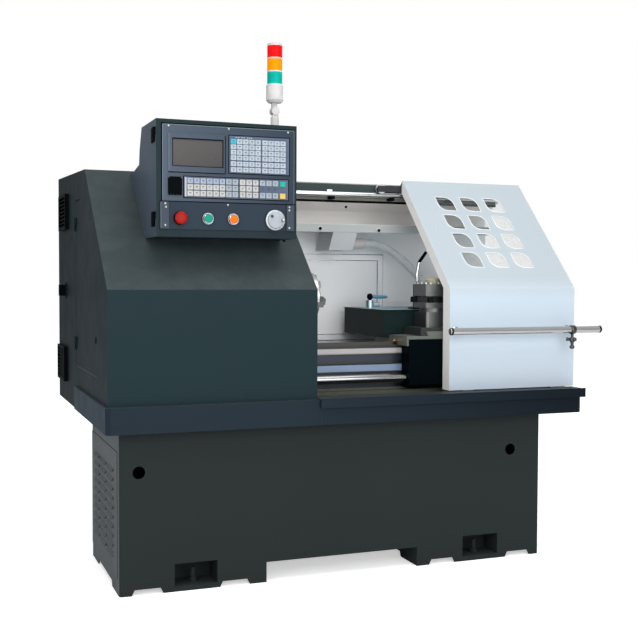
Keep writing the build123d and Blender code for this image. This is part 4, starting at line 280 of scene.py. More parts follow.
def enamel(name, paint, gloss=0.4, tone_shift=0.08, peel_scale=500.0, peel=0.00005, top_light_and_dust=0.1,
           top_light_and_dust_colour=(0.4, 0.4, 0.38, 1), specular=0.07, painted_shade_fade=None):
    """A sprayed enamel finish, which may fade to a second tone along one axis as painted shade."""
    material, tree, shader, vector = start_material(name)
    colour = (*paint, 1)
    if painted_shade_fade:
        axis, low, high, painted_shade_tone = painted_shade_fade
        split = tree.nodes.new("ShaderNodeSeparateXYZ")
        join(tree, vector, split.inputs[0])
        share = remap(tree, split.outputs[axis], low, high, 0.0, 1.0)
        colour = blend_colours(tree, share, colour, (*painted_shade_tone, 1))
    group = use_group(tree, ENAMEL, vector, {
        "Paint": colour, "Tone shift": tone_shift, "Gloss": gloss, "Peel scale": peel_scale, "Top light and dust": top_light_and_dust,
        "Top light and dust colour": top_light_and_dust_colour})
    join(tree, group.outputs["Colour"], shader.inputs["Base Color"])
    join(tree, group.outputs["Roughness"], shader.inputs["Roughness"])
    shader.inputs["Specular IOR Level"].default_value = specular
    add_bump(tree, shader, group.outputs["Height"], peel)
    return material


def bare_metal(name, metal, gloss=0.3, stain=0.15, stretch=(3, 60, 60), marks=0.00003):
    """Machined or drawn metal, its marks drawn out along one axis."""
    material, tree, shader, vector = start_material(name, stretch)
    group = use_group(tree, CUT_METAL, vector, {"Metal": (*metal, 1), "Stain": stain, "Gloss": gloss})
    join(tree, group.outputs["Colour"], shader.inputs["Base Color"])
    join(tree, group.outputs["Roughness"], shader.inputs["Roughness"])
    shader.inputs["Metallic"].default_value = 1.0
    add_bump(tree, shader, group.outputs["Height"], marks)
    return material


def plastic(name, colour, gloss=0.3, grain=0.00002, glow=0.0, specular=0.2):
    """A moulded plastic finish."""
    material, tree, shader, vector = start_material(name)
    group = use_group(tree, MOULDED, vector, {"Plastic": (*colour, 1), "Gloss": gloss})
    join(tree, group.outputs["Colour"], shader.inputs["Base Color"])
    join(tree, group.outputs["Roughness"], shader.inputs["Roughness"])
    shader.inputs["Specular IOR Level"].default_value = specular
    if glow:
        join(tree, group.outputs["Colour"], shader.inputs["Emission Color"])
        shader.inputs["Emission Strength"].default_value = glow
    add_bump(tree, shader, group.outputs["Height"], grain)
    return material


def banded_iron(name, bands, gloss=0.35):
    """Cast iron banded by height: each band starts at its height and has its own colour, which stands for
    paint, ground metal or painted shade.
    """
    material, tree, shader, vector = start_material(name)
    split = tree.nodes.new("ShaderNodeSeparateXYZ")
    join(tree, vector, split.inputs[0])
    colour = (*bands[0][1], 1)
    metal = bands[0][2]
    for start, paint, metallic in bands[1:]:
        over = remap(tree, split.outputs["Z"], start - 0.0005, start + 0.0005, 0.0, 1.0)
        colour = blend_colours(tree, over, colour, (*paint, 1))
        gain = math_node(tree, "MULTIPLY", over, float(metallic))
        keep = math_node(tree, "MULTIPLY", math_node(tree, "SUBTRACT", 1.0, over), metal)
        metal = math_node(tree, "ADD", gain, keep)
    group = use_group(tree, ENAMEL, vector, {
        "Paint": colour, "Tone shift": 0.25, "Gloss": gloss, "Peel scale": 220.0, "Top light and dust": 0.25,
        "Top light and dust colour": (0.10, 0.085, 0.07, 1)})
    join(tree, group.outputs["Colour"], shader.inputs["Base Color"])
    join(tree, group.outputs["Roughness"], shader.inputs["Roughness"])
    join(tree, metal, shader.inputs["Metallic"])
    add_bump(tree, shader, group.outputs["Height"], 0.0002)
    return material


def clear_pane(name, tint, alpha):
    """Tinted sheet plastic that lets the background through."""
    material, tree, shader, vector = start_material(name)
    scuffs = noise(tree, vector, 45.0, 6.0, 0.7)
    join(tree, remap(tree, scuffs, 0.35, 0.75, 0.08, 0.26), shader.inputs["Roughness"])
    shader.inputs["Base Color"].default_value = (*tint, 1)
    join(tree, remap(tree, scuffs, 0.3, 0.8, alpha, alpha + 0.06), shader.inputs["Alpha"])
    material.surface_render_method = "BLENDED"
    return material


def display_with_painted_reflection(name):
    """Dark display glass with a painted reflection: lighter towards the upper left corner, darker towards the
    lower right.
    """
    material, tree, shader, vector = start_material(name)
    split = tree.nodes.new("ShaderNodeSeparateXYZ")
    join(tree, vector, split.inputs[0])
    across = remap(tree, split.outputs["X"], -0.667, -0.507, 0.0, 1.0)
    fall = remap(tree, split.outputs["Z"], 1.423, 1.341, 0.0, 1.0)
    share = math_node(tree, "MULTIPLY", math_node(tree, "ADD", across, fall), 0.5)
    colour = blend_colours(tree, share, (0.072, 0.067, 0.064, 1), (0.038, 0.037, 0.037, 1))
    join(tree, colour, shader.inputs["Base Color"])
    smudge = noise(tree, vector, 60.0, 4.0)
    join(tree, remap(tree, smudge, 0.4, 0.7, 0.16, 0.3), shader.inputs["Roughness"])
    shader.inputs["Specular IOR Level"].default_value = 0.15
    return material


# Navy: upward faces such as the cover's slope lighten through the top light and dust, partly as painted
# light.
navy = enamel("navy_enamel", (0.0105, 0.0245, 0.029), 0.42, top_light_and_dust=0.26)
# Tray navy, darker towards the right end as painted shade.
tray_navy_painted_shade = enamel("tray_enamel_painted_shade", (0.0125, 0.021, 0.030), 0.42, top_light_and_dust=0.1,
                   painted_shade_fade=("X", -0.3, 0.8, (0.004, 0.0075, 0.012)))
# The tray's left end: a lighter copy of the tray navy as painted light.
tray_end_painted_light = enamel("tray_end_painted_light_enamel", (0.020, 0.037, 0.054), 0.5, top_light_and_dust=0.0, specular=0.03)
# The machine's left end: a copy of the navy, darker towards the back, as painted shade.
side_navy_painted_shade = enamel("end_enamel_painted_shade", (0.013, 0.022, 0.027), 0.5, top_light_and_dust=0.1, specular=0.02,
                   painted_shade_fade=("Y", -0.2, 0.5, (0.003, 0.010, 0.014)))
# Left sides of the control box and panel: a lighter copy of the box's navy as painted light.
box_side_painted_light = enamel("box_side_coat_painted_light", (0.060, 0.080, 0.105), 0.5, peel_scale=1400.0, peel=0.0001, top_light_and_dust=0.03)
# Rim of the control box: a little darker towards the top as painted shade.
box_navy_painted_shade = enamel("box_rim_coat_painted_shade", (0.014, 0.025, 0.031), 0.45, top_light_and_dust=0.05,
                  painted_shade_fade=("Z", 1.13, 1.45, (0.012, 0.024, 0.026)))
# Front of the panel frame: lighter at the left and darker towards the right, as painted light and shade.
navy_flat_painted_light = enamel("frame_texture_coat_painted_light", (0.071, 0.090, 0.122), 0.45, peel_scale=1400.0, peel=0.0001,
                   top_light_and_dust=0.0, painted_shade_fade=("X", -0.70, -0.27, (0.027, 0.041, 0.057)))
# Bright paint for the panel's edge lines: painted highlights.
panel_painted_highlight = enamel("panel_highlight_paint", (0.15, 0.19, 0.24), 0.35, top_light_and_dust=0.0, specular=0.3)
plate_blue = enamel("switch_plate_blue", (0.022, 0.034, 0.051), 0.42, top_light_and_dust=0.0)
rail_blue = enamel("plate_rail_blue", (0.033, 0.049, 0.067), 0.38, top_light_and_dust=0.0, specular=0.15)
stand_black = enamel("stand_grey_black", (0.018, 0.023, 0.023), 0.5, top_light_and_dust=0.04)
# Stand's left side with its vent panel, and the belt door's pale seam lines: a grey far lighter than the
# stand paint, as painted light.
painted_light_grey = enamel("vent_panel_grey_painted_light", (0.072, 0.082, 0.087), 0.5, top_light_and_dust=0.04)
tank_grey = enamel("tank_grey", (0.045, 0.052, 0.058), 0.5)
motor_grey = enamel("drive_grey", (0.012, 0.016, 0.02), 0.45)
beam_navy = enamel("beam_enamel", (0.042, 0.060, 0.060), 0.42, top_light_and_dust=0.0)
wall_white = enamel("wall_enamel", (0.96, 0.975, 0.99), 0.4, tone_shift=0.02, top_light_and_dust=0.0, specular=0.3)
# Roof, shelf lip and duct are parts of the white back wall; their darker greys are painted shade.
roof_grey_painted_shade = enamel("roof_enamel_painted_shade", (0.90, 0.87, 0.84), 0.4, tone_shift=0.05, top_light_and_dust=0.0, specular=0.2)
lip_grey_painted_shade = enamel("shelf_lip_enamel_painted_shade", (0.40, 0.43, 0.42), 0.4, tone_shift=0.04, top_light_and_dust=0.1, specular=0.2)
duct_grey_painted_shade = enamel("duct_enamel_painted_shade", (0.66, 0.69, 0.71), 0.4, tone_shift=0.04, top_light_and_dust=0.1, specular=0.2)
carrier_brown = enamel("shadow_strip_carrier_enamel", (0.20, 0.185, 0.16), 0.5, top_light_and_dust=0.0)
# White for the window beads, brighter than the door paint: painted highlight on the cut edges.
trim_painted_highlight = enamel("edge_trim_painted_highlight", (0.80, 0.82, 0.84), 0.4, tone_shift=0.02, top_light_and_dust=0.0, specular=0.3)
# Door paint, darker on the upper slope as painted shade.
door_white_painted_shade = enamel("door_enamel_painted_shade", (0.485, 0.565, 0.64), 0.38, tone_shift=0.02, peel_scale=350.0, top_light_and_dust=0.0,
                    specular=0.25, painted_shade_fade=("Z", 0.93, 1.0, (0.42, 0.475, 0.51)))
# Door's left flange: far whiter than the door paint, as painted light.
flange_white_painted_light = enamel("door_flange_painted_light", (0.92, 0.91, 0.89), 0.4, tone_shift=0.02, top_light_and_dust=0.0, specular=0.2)
# Slide cover: near black, its top lightened to a blue grey through the top light and dust, as painted light.
guard_dark_painted_top_light = enamel("guard_enamel_painted_top_light", (0.008, 0.018, 0.018), 0.36, tone_shift=0.12, top_light_and_dust=0.75,
                    top_light_and_dust_colour=(0.38, 0.56, 0.62, 1), specular=0.04)
saddle_dark = enamel("saddle_enamel", (0.12, 0.13, 0.112), 0.35, tone_shift=0.3, top_light_and_dust=0.05, specular=0.2)
slide_grey = enamel("slide_enamel", (0.030, 0.036, 0.034), 0.35, tone_shift=0.3, top_light_and_dust=0.05, specular=0.15)
# Apron: a dark blue darkened to near black as painted shade under the carriage.
apron_blue_painted_shade = enamel("apron_enamel_painted_shade", (0.0003, 0.002, 0.003), 0.5, tone_shift=0.15, top_light_and_dust=0.0, specular=0.02)
iron = bare_metal("cast_flanks", (0.16, 0.165, 0.17), 0.45, 0.3, (9, 9, 9), 0.0001)
ground = bare_metal("ground_steel", (0.52, 0.53, 0.54), 0.28)
turned_steel = bare_metal("turned_steel", (0.5, 0.5, 0.51), 0.3, 0.1, (60, 4, 4))
dark_steel = bare_metal("blackened_steel", (0.04, 0.042, 0.044), 0.38, 0.2, (20, 20, 20))
turret_iron = bare_metal("oiled_iron", (0.20, 0.205, 0.20), 0.46, 0.3, (12, 12, 12), 0.00005)
screw_dark = bare_metal("feed_screw_steel", (0.31, 0.31, 0.31), 0.12, 0.1, (40, 4, 4))
pale_metal = bare_metal("pale_cast_zinc", (0.50, 0.62, 0.68), 0.4, 0.1, (20, 20, 20))
grey_metal = bare_metal("nickel_plate", (0.30, 0.32, 0.33), 0.28, 0.1, (20, 20, 20), 0.00001)
bolt_zinc = bare_metal("bolt_zinc", (0.42, 0.41, 0.40), 0.3, 0.1, (30, 30, 30), 0.00001)
beige_cap = enamel("turret_cap_beige", (0.33, 0.325, 0.22), 0.35, specular=0.3)
chrome = bare_metal("hard_chrome", (0.66, 0.67, 0.68), 0.1, 0.03, (2, 40, 40), 0.000005)
knob_chrome = bare_metal("knob_chrome", (0.08, 0.083, 0.083), 0.2, 0.05, (20, 20, 20), 0.00001)
bar_chrome = bare_metal("bar_chrome", (0.53, 0.53, 0.52), 0.12, 0.05, (2, 40, 40), 0.000005)
conduit_metal = plastic("conduit_spiral", (0.60, 0.64, 0.66), 0.3, specular=0.5)
dial_metal = plastic("anodised_dial", (0.33, 0.36, 0.40), 0.4, specular=0.3)
brass = bare_metal("fitting_brass", (0.72, 0.50, 0.2), 0.22, 0.15, (20, 20, 20))
belt_black = plastic("belt_rubber", (0.015, 0.015, 0.016), 0.7, 0.0002)
black_mould = plastic("black_mould", (0.002, 0.003, 0.004), 0.6, specular=0.02)
red_mould = plastic("stop_red", (0.30, 0.008, 0.005), 0.34, specular=0.12)
green_mould = plastic("start_green", (0.0005, 0.26, 0.185), 0.32, specular=0.1)
orange_mould = plastic("hold_orange", (0.85, 0.14, 0.0005), 0.32, specular=0.1)
white_mould = plastic("lamp_white", (0.56, 0.55, 0.545), 0.3)
lamp_red = plastic("lens_red", (0.72, 0.006, 0.006), 0.25, glow=0.2, specular=0.08)
lamp_amber = plastic("lens_amber", (0.80, 0.26, 0.0005), 0.25, glow=0.2, specular=0.08)
lamp_green = plastic("lens_green", (0.001, 0.36, 0.30), 0.25, glow=0.15, specular=0.08)
key_white = plastic("key_pale", (0.36, 0.41, 0.47), 0.45)
key_warm = plastic("key_warm", (0.42, 0.42, 0.41), 0.45)
key_lavender = plastic("key_lavender", (0.28, 0.32, 0.41), 0.45)
key_grey = plastic("key_grey", (0.29, 0.33, 0.37), 0.45)
key_ground = plastic("keypad_ground", (0.075, 0.10, 0.155), 0.5)
key_cyan = plastic("key_cyan", (0.035, 0.36, 0.50), 0.4)
key_green = plastic("key_green", (0.008, 0.34, 0.24), 0.4)
key_yellow = plastic("key_yellow", (0.60, 0.42, 0.10), 0.4)
key_print = plastic("key_print", (0.05, 0.06, 0.08), 0.5)
blue_dip = plastic("lever_blue", (0.08, 0.23, 0.34), 0.35)
display_painted_reflection = display_with_painted_reflection("display_glass_painted_reflection")
pane = clear_pane("window_sheet", (0.14, 0.17, 0.16), 0.12)
# Bed: the bands at 0.612, 0.660, 0.694, 0.707, 0.726 and 0.751 are near black as painted shade between the
# ways and on the casting's side; the bluish band at 0.671 is a ground rib with a painted reflection.
bed_bands_with_painted_shade = banded_iron("bed_bands_with_painted_shade", (
    (0.575, (0.08, 0.09, 0.065), 0.0), (0.612, (0.002, 0.007, 0.017), 0.0),
    (0.660, (0.002, 0.0025, 0.003), 0.0), (0.671, (0.19, 0.26, 0.38), 0.2),
    (0.694, (0.005, 0.010, 0.010), 0.0), (0.707, (0.008, 0.017, 0.038), 0.0),
    (0.726, (0.002, 0.0025, 0.003), 0.0), (0.730, (0.37, 0.36, 0.36), 0.2),
    (0.751, (0.006, 0.006, 0.005), 0.0)))

node_finish = {
    stand_black: "stand", painted_light_grey: "stand_vent_panel", tank_grey: "coolant_tank",
    tray_navy_painted_shade: "chip_tray door_track", bed_bands_with_painted_shade: "bed", iron: "headstock motor_pulley tailstock_body",
    ground: "spindle_bearings x_screw", turned_steel: "spindle chuck_body quill roller_left roller_right",
    turret_iron: "jaw_1 jaw_2 jaw_3 turret_base turret_head", motor_grey: "spindle_motor z_drive",
    belt_black: "drive_belt", navy: "headstock_cover belt_door electrical_cabinet cabinet_door",
    black_mould: "vent_grilles main_switch port_cover", box_side_painted_light: "control_box", box_navy_painted_shade: "panel_door",
    display_painted_reflection: "screen_glass", key_white: "key_panels", rail_blue: "switch_plate", red_mould: "stop_button",
    green_mould: "start_button", orange_mould: "hold_button", dial_metal: "pulse_dial",
    white_mould: "lamp_foot lamp_body", lamp_amber: "lamp_lenses", wall_white: "back_wall",
    beam_navy: "roof_beam", chrome: "door_rail tailstock_wheel quill_lever handle_bar",
    conduit_metal: "conduit", screw_dark: "z_screw", saddle_dark: "saddle", apron_blue_painted_shade: "apron",
    slide_grey: "cross_slide", guard_dark_painted_top_light: "slide_cover", dark_steel: "cutting_tools coolant_fittings",
    blue_dip: "valve_lever", door_white_painted_shade: "sliding_door", pane: "window_panes"}
for finish, node_names in node_finish.items():
    for node_name in node_names.split():
        mesh = nodes[node_name].data
        mesh.materials.clear()
        mesh.materials.append(finish)


def paint_faces(node, *rules):
    """Gives parts of a CAD node other finishes: a rule is a test on a face's centre and its finish."""
    thing = nodes[node]
    for _, finish in rules:
        thing.data.materials.append(finish)
    for face in thing.data.polygons:
        centre = thing.matrix_world @ face.center
        for number, (wanted, _) in enumerate(rules, start=1):
            if wanted(centre):
                face.material_index = number


# Left end of the machine, left side of the control box with its hinge leaves, and the panel's faces
END_X, BELT_DOOR_X, TRAY_X, STAND_X = -0.8708, -0.8690, -0.8808, -0.8290
BOX_LEFT_X, PANEL_LEFT_X, LEAF_X = -0.7180, -0.7178, -0.7186
BEZEL_Y, PLATE_Y = -0.5582, -0.5594
# Left ends get their own copies of the paints: a navy darkening towards the back as painted shade, and
# lighter tray and stand greys as painted light.
paint_faces("headstock_cover", (lambda c: c.x < END_X, side_navy_painted_shade))
paint_faces("electrical_cabinet", (lambda c: c.x < END_X, side_navy_painted_shade))
paint_faces("belt_door", (lambda c: c.x < BELT_DOOR_X, side_navy_painted_shade))
paint_faces("chip_tray", (lambda c: c.x < TRAY_X, tray_end_painted_light))
# The stand's left end gets the lighter grey: painted light.
paint_faces("stand", (lambda c: c.x < STAND_X, painted_light_grey))
# The left sides of the box and panel get the lighter navy as painted light; the rim and the panel front get
# navies that fade as painted shade.
paint_faces("control_box", (lambda c: c.x > BOX_LEFT_X, box_navy_painted_shade), (lambda c: c.x < LEAF_X, black_mould))
paint_faces("panel_door", (lambda c: c.y < BEZEL_Y, navy_flat_painted_light), (lambda c: c.x < PANEL_LEFT_X, box_side_painted_light),
            (lambda c: c.x < LEAF_X, black_mould))
paint_faces("switch_plate", (lambda c: c.y < PLATE_Y, plate_blue))

# Coolant pipe with its black tip, the turret's cap, and the door's flange and roller brackets
PIPE_FOOT_Z, PIPE_TIP_Z, VALVE_X, CAP_Z = 0.975, 1.055, 0.24, 0.9758
FLANGE_X, FLANGE_TOP_Z, BRACKET_Y, BRACKET_Z = 0.3172, 1.36, -0.134, 1.3
paint_faces("coolant_fittings", (lambda c: c.x < VALVE_X, pale_metal),
            (lambda c: c.z > PIPE_TIP_Z, black_mould),
            (lambda c: PIPE_FOOT_Z < c.z <= PIPE_TIP_Z, chrome))
paint_faces("turret_head", (lambda c: c.z > CAP_Z, beige_cap))
# The door's flange gets the whiter copy of the door paint: painted light.
paint_faces("sliding_door", (lambda c: c.x < FLANGE_X and c.z < FLANGE_TOP_Z, flange_white_painted_light),
            (lambda c: c.y > BRACKET_Y and c.z > BRACKET_Z, dark_steel))

# Roof over the shelf, the shelf's lip, the wiring duct under it and the duct's collar; roof, lip and duct are
# darker copies of the wall's white as painted shade
SHELF_Z, LIP_Y, DUCT_BACK_Y, DUCT_LOW_Z = 1.2, -0.0860, 0.08, 1.09
DUCT_RIGHT_X, COLLAR_RIGHT_X = 0.15466, 0.1687
paint_faces("back_wall", (lambda c: c.z > SHELF_Z + 0.0005, roof_grey_painted_shade), (lambda c: c.y < LIP_Y, lip_grey_painted_shade),
            (lambda c: DUCT_LOW_Z < c.z < SHELF_Z - 0.0005 and LIP_Y <= c.y < DUCT_BACK_Y, duct_grey_painted_shade),
            (lambda c: (DUCT_RIGHT_X < c.x < COLLAR_RIGHT_X and -0.03 < c.y < 0.1
                        and DUCT_LOW_Z < c.z < 1.17), white_mould))


# Modelling helpers
def clear_selection():
    """Back to object mode with nothing selected."""
    if bpy.context.object and bpy.context.object.mode != "OBJECT":
        bpy.ops.object.mode_set(mode="OBJECT")
    bpy.ops.object.select_all(action="DESELECT")


def work_on(piece):
    """Makes a piece the only selected one and opens it in edit mode."""
    clear_selection()
    piece.select_set(True)
    bpy.context.view_layer.objects.active = piece
    bpy.ops.object.mode_set(mode="EDIT")


def set_place(piece):
    """Writes a piece's place into its mesh."""
    clear_selection()
    piece.select_set(True)
    bpy.context.view_layer.objects.active = piece
    bpy.ops.object.transform_apply(location=True, rotation=True, scale=True)


def pick_faces(piece, wanted):
    """Selects the faces whose centre and normal satisfy a test, in edit mode."""
    mesh = bmesh.from_edit_mesh(piece.data)
    bpy.ops.mesh.select_all(action="DESELECT")
    bpy.ops.mesh.select_mode(type="FACE")
    for face in mesh.faces:
        face.select_set(wanted(face.calc_center_median(), face.normal))
    bmesh.update_edit_mesh(piece.data)


def finish_piece(piece, name, material, body, slot, *replaced):
    """Names a piece, gives it its finish and lets it ride on its body."""
    clear_selection()
    piece.name = name
    piece.data.name = name
    if material:
        piece.data.materials.clear()
        piece.data.materials.append(material)
    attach(piece, body)
    if replaced:
        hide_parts(*replaced)
    return piece


def soft_block(low, high, edge, steps=2):
    """A block between two corners with all its edges rounded."""
    clear_selection()
    low, high = Vector(low), Vector(high)
    bpy.ops.mesh.primitive_cube_add(size=1, location=(low + high) / 2)
    piece = bpy.context.object
    piece.scale = high - low
    set_place(piece)
    bpy.ops.object.mode_set(mode="EDIT")
    bpy.ops.mesh.select_all(action="SELECT")
    bpy.ops.mesh.bevel(offset=edge, segments=steps, affect="EDGES")
    bpy.ops.object.mode_set(mode="OBJECT")
    return piece


def turned_piece(profile, origin, along, sides=40, closed=False, smooth=35.0):
    """A turned piece: a ring is extruded and sized from place to place along its axis."""
    clear_selection()
    before, radius = profile[0]
    bpy.ops.mesh.primitive_circle_add(
        vertices=sides, radius=radius, fill_type="NOTHING", location=(0, 0, before))
    piece = bpy.context.object
    bpy.ops.object.transform_apply(location=True)
    bpy.ops.object.mode_set(mode="EDIT")
    bpy.ops.mesh.select_all(action="SELECT")
    for place, next_radius in profile[1:]:
        bpy.ops.mesh.extrude_region_move(TRANSFORM_OT_translate={"value": (0, 0, place - before)})
        ratio = next_radius / radius
        bpy.ops.transform.resize(value=(ratio, ratio, 1), center_override=(0, 0, place))
        before, radius = place, next_radius
    bpy.ops.mesh.select_all(action="SELECT")
    if closed:
        bpy.ops.mesh.remove_doubles(threshold=0.000001)
    else:
        bpy.ops.mesh.fill_holes(sides=0)
    bpy.ops.mesh.normals_make_consistent(inside=False)
    bpy.ops.object.mode_set(mode="OBJECT")
    bpy.ops.object.shade_smooth_by_angle(angle=math.radians(smooth))
    piece.rotation_mode = "QUATERNION"
    piece.rotation_quaternion = Vector((0, 0, 1)).rotation_difference(Vector(along))
    piece.location = origin
    set_place(piece)
    return piece


def copies(piece, shifts):
    """Copies of a piece, each with its own mesh, joined into the piece."""
    made = [piece]
    for shift in shifts:
        clear_selection()
        piece.select_set(True)
        bpy.context.view_layer.objects.active = piece
        bpy.ops.object.duplicate(linked=False)
        twin = bpy.context.object
        twin.location = shift
        set_place(twin)
        made.append(twin)
    return weld(made)


def copies_at(piece, places):
    """A piece that stands at the first place, and a copy of it at each other place."""
    return copies(piece, [tuple(Vector(place) - Vector(places[0])) for place in places[1:]])


def weld(parts):
    """Joins pieces into the first one."""
    clear_selection()
    for part in parts:
        part.select_set(True)
    bpy.context.view_layer.objects.active = parts[0]
    bpy.ops.object.join()
    return bpy.context.object


# Ribbed conduit: rings along the route's own spline
def route_curve(name, points):
    """A smooth curve with the route's points as its control points."""
    curve = bpy.data.curves.new(name, "CURVE")
    curve.dimensions = "3D"
    curve.resolution_u = 24
    spline = curve.splines.new("NURBS")
    spline.points.add(len(points) - 1)
    for point, place in zip(spline.points, points):
        point.co = (*place, 1)
    spline.order_u = 3
    spline.use_endpoint_u = True
    thing = bpy.data.objects.new(name, curve)
    bpy.context.scene.collection.objects.link(thing)
    return thing


def spline_places(name, points):
    """Places along the route's spline, in order."""
    thing = route_curve(name, points)
    bpy.context.view_layer.update()
    line = bpy.data.meshes.new_from_object(thing.evaluated_get(bpy.context.evaluated_depsgraph_get()))
    places = [vertex.co.copy() for vertex in line.vertices]
    bpy.data.objects.remove(thing)
    return places


def spaced(places, step):
    """Places at even steps along a line, with the way it runs there."""
    spread = []
    run = 0.0
    target = 0.0
    for here, there in zip(places, places[1:]):
        length = (there - here).length
        while target <= run + length and length > 0:
            spread.append((here.lerp(there, (target - run) / length), (there - here).normalized()))
            target += step
        run += length
    spread.append((places[-1], (places[-1] - places[-2]).normalized()))
    return spread


def ribbed_tube(name, places, radius, pitch, depth, sides=24):
    """A tube with a rounded rib at every pitch."""
    rings = []
    for number, (place, way) in enumerate(spaced(places, pitch / 4)):
        share = (0.0, 0.75, 1.0, 0.75)[number % 4]
        rings.append((place, way, radius - depth * (1.0 - share)))
    side = Vector((0, 1, 0))
    points, faces = [], []
    for place, way, size in rings:
        side = (side - way * side.dot(way)).normalized()
        other = way.cross(side)
        for number in range(sides):
            turn = 2 * math.pi * number / sides
            points.append(place + size * (math.cos(turn) * side + math.sin(turn) * other))
    for ring in range(len(rings) - 1):
        for number in range(sides):
            a = ring * sides + number
            b = ring * sides + (number + 1) % sides
            faces.append((a, b, b + sides, a + sides))
    faces.append(tuple(range(sides))[::-1])
    faces.append(tuple(range((len(rings) - 1) * sides, len(rings) * sides)))
    mesh = bpy.data.meshes.new(name)
    mesh.from_pydata([tuple(point) for point in points], [], faces)
    mesh.update()
    tube = bpy.data.objects.new(name, mesh)
    bpy.context.scene.collection.objects.link(tube)
    work_on(tube)
    bpy.ops.mesh.select_all(action="SELECT")
    bpy.ops.mesh.normals_make_consistent(inside=False)
    bpy.ops.object.mode_set(mode="OBJECT")
    bpy.ops.object.shade_smooth_by_angle(angle=math.radians(60.0))
    return tube


conduit_line = spline_places("conduit_route", conduit_points)
conduit_tube = ribbed_tube("conduit_spiral", conduit_line, CONDUIT_RADIUS, 0.0075, 0.0022)
conduit_tube.data.materials.append(conduit_metal)
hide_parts("conduit")
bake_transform(conduit_tube)


# Pieces of the control panel
FRAME_Y = -0.5585
PAD_Y = -0.5605
KEY_Y = -0.5637
BUTTON_Z = 1.18


def edge_bars(x0, x1, z0, z1, width, front, back, sides="LRTB"):
    """Slim bars that follow a rectangle's edges from inside, on the chosen sides."""
    places = {"T": ((x0, front, z1 - width), (x1, back, z1)), "B": ((x0, front, z0), (x1, back, z0 + width)),
              "L": ((x0, front, z0 + width), (x0 + width, back, z1 - width)),
              "R": ((x1 - width, front, z0 + width), (x1, back, z1 - width))}
    return weld([soft_block(*places[side], 0.0002, 1) for side in sides])


def key_field(x0, top, pitch, size, cells):
    """Keys in the cells of a grid that starts at its upper left corner."""
    column, row = cells[0]
    corner = Vector((x0 + column * pitch[0], 0, top - row * pitch[1]))
    key = soft_block((corner.x, KEY_Y, corner.z - size[1]), (corner.x + size[0], PAD_Y + 0.0004, corner.z),
                     0.0012)
    return copies(key, [((c - column) * pitch[0], 0, (row - r) * pitch[1]) for c, r in cells[1:]])


def grid(columns, rows, skip=()):
    """The cells of a grid, without some."""
    return [(c, r) for r in rows for c in range(columns) if (c, r) not in skip]


def panel_piece(piece, name, material, slot, *replaced):
    """A finished piece that rides on the panel door."""
    return finish_piece(piece, name, material, "panel", slot, *replaced)


# Key blocks: size of a key, steps from key to key, left edges and tops
MDI_KEY, MDI_PITCH, LOW_PITCH = (0.0184, 0.0154), (0.0201, 0.0170), (0.0201, 0.0182)
RUN_KEY, RUN_PITCH = (0.0186, 0.0170), (0.0206, 0.0195)
NARROW_PITCH, WIDE_PITCH = (0.0210, 0.0195), (0.0215, 0.0195)
LETTERS_X, NUMBERS_X, MODES_X, GREYS_X = -0.4824, -0.3785, -0.6217, -0.4977
MIDDLE_X, RIGHT_X, LAST_X = -0.4527, -0.3867, -0.3187
MDI_TOP, LOW_TOP, RUN_TOP, START_TOP, STOP_TOP = 1.4320, 1.3620, 1.3050, 1.3035, 1.2660
panel_piece(weld([soft_block((-0.48635, PAD_Y, 1.325), (-0.28735, FRAME_Y + 0.0003, 1.442), 0.0008),
                  soft_block((-0.63135, PAD_Y, 1.245), (-0.29035, FRAME_Y + 0.0003, 1.309), 0.0008)]),
            "keypad_grounds", key_ground, "key_plastic", "key_panels")
pale_keys = [
    key_field(LETTERS_X, MDI_TOP, MDI_PITCH, MDI_KEY, grid(5, range(4), skip=((0, 0),))),
    key_field(LETTERS_X, LOW_TOP, LOW_PITCH, MDI_KEY, grid(5, range(2))),
    key_field(NUMBERS_X, MDI_TOP, MDI_PITCH, MDI_KEY, grid(4, range(4))),
    key_field(NUMBERS_X, LOW_TOP, LOW_PITCH, MDI_KEY, grid(4, range(2)))]
panel_piece(weld(pale_keys), "data_keys", key_white, "key_plastic")
warm_keys = [
    key_field(MODES_X, RUN_TOP, RUN_PITCH, RUN_KEY, grid(6, (1, 2))),
    key_field(MIDDLE_X, RUN_TOP, WIDE_PITCH, RUN_KEY, grid(3, range(3))),
    soft_block((-0.6295, -0.5612, 1.2475), (-0.6238, PAD_Y + 0.0003, 1.3065), 0.0004, 1)]
panel_piece(weld(warm_keys), "run_keys_pale", key_warm, "key_plastic")
panel_piece(key_field(MODES_X, RUN_TOP, RUN_PITCH, RUN_KEY, grid(6, (0,))), "run_keys_lavender", key_lavender,
            "key_plastic")
grey_keys = [key_field(GREYS_X, RUN_TOP, NARROW_PITCH, RUN_KEY, grid(2, range(3))),
             key_field(RIGHT_X, RUN_TOP, WIDE_PITCH, RUN_KEY, grid(3, (0, 2)))]
panel_piece(weld(grey_keys), "run_keys_grey", key_grey, "key_plastic")
for name, left, top, size, finish in (
        ("mode_key", LETTERS_X, MDI_TOP, MDI_KEY, key_cyan),
        ("cycle_start_key", LAST_X, START_TOP, RUN_KEY, key_green),
        ("feed_hold_key", LAST_X, STOP_TOP, RUN_KEY, key_yellow)):
    panel_piece(key_field(left, top, size, size, [(0, 0)]), name, finish, "key_plastic")

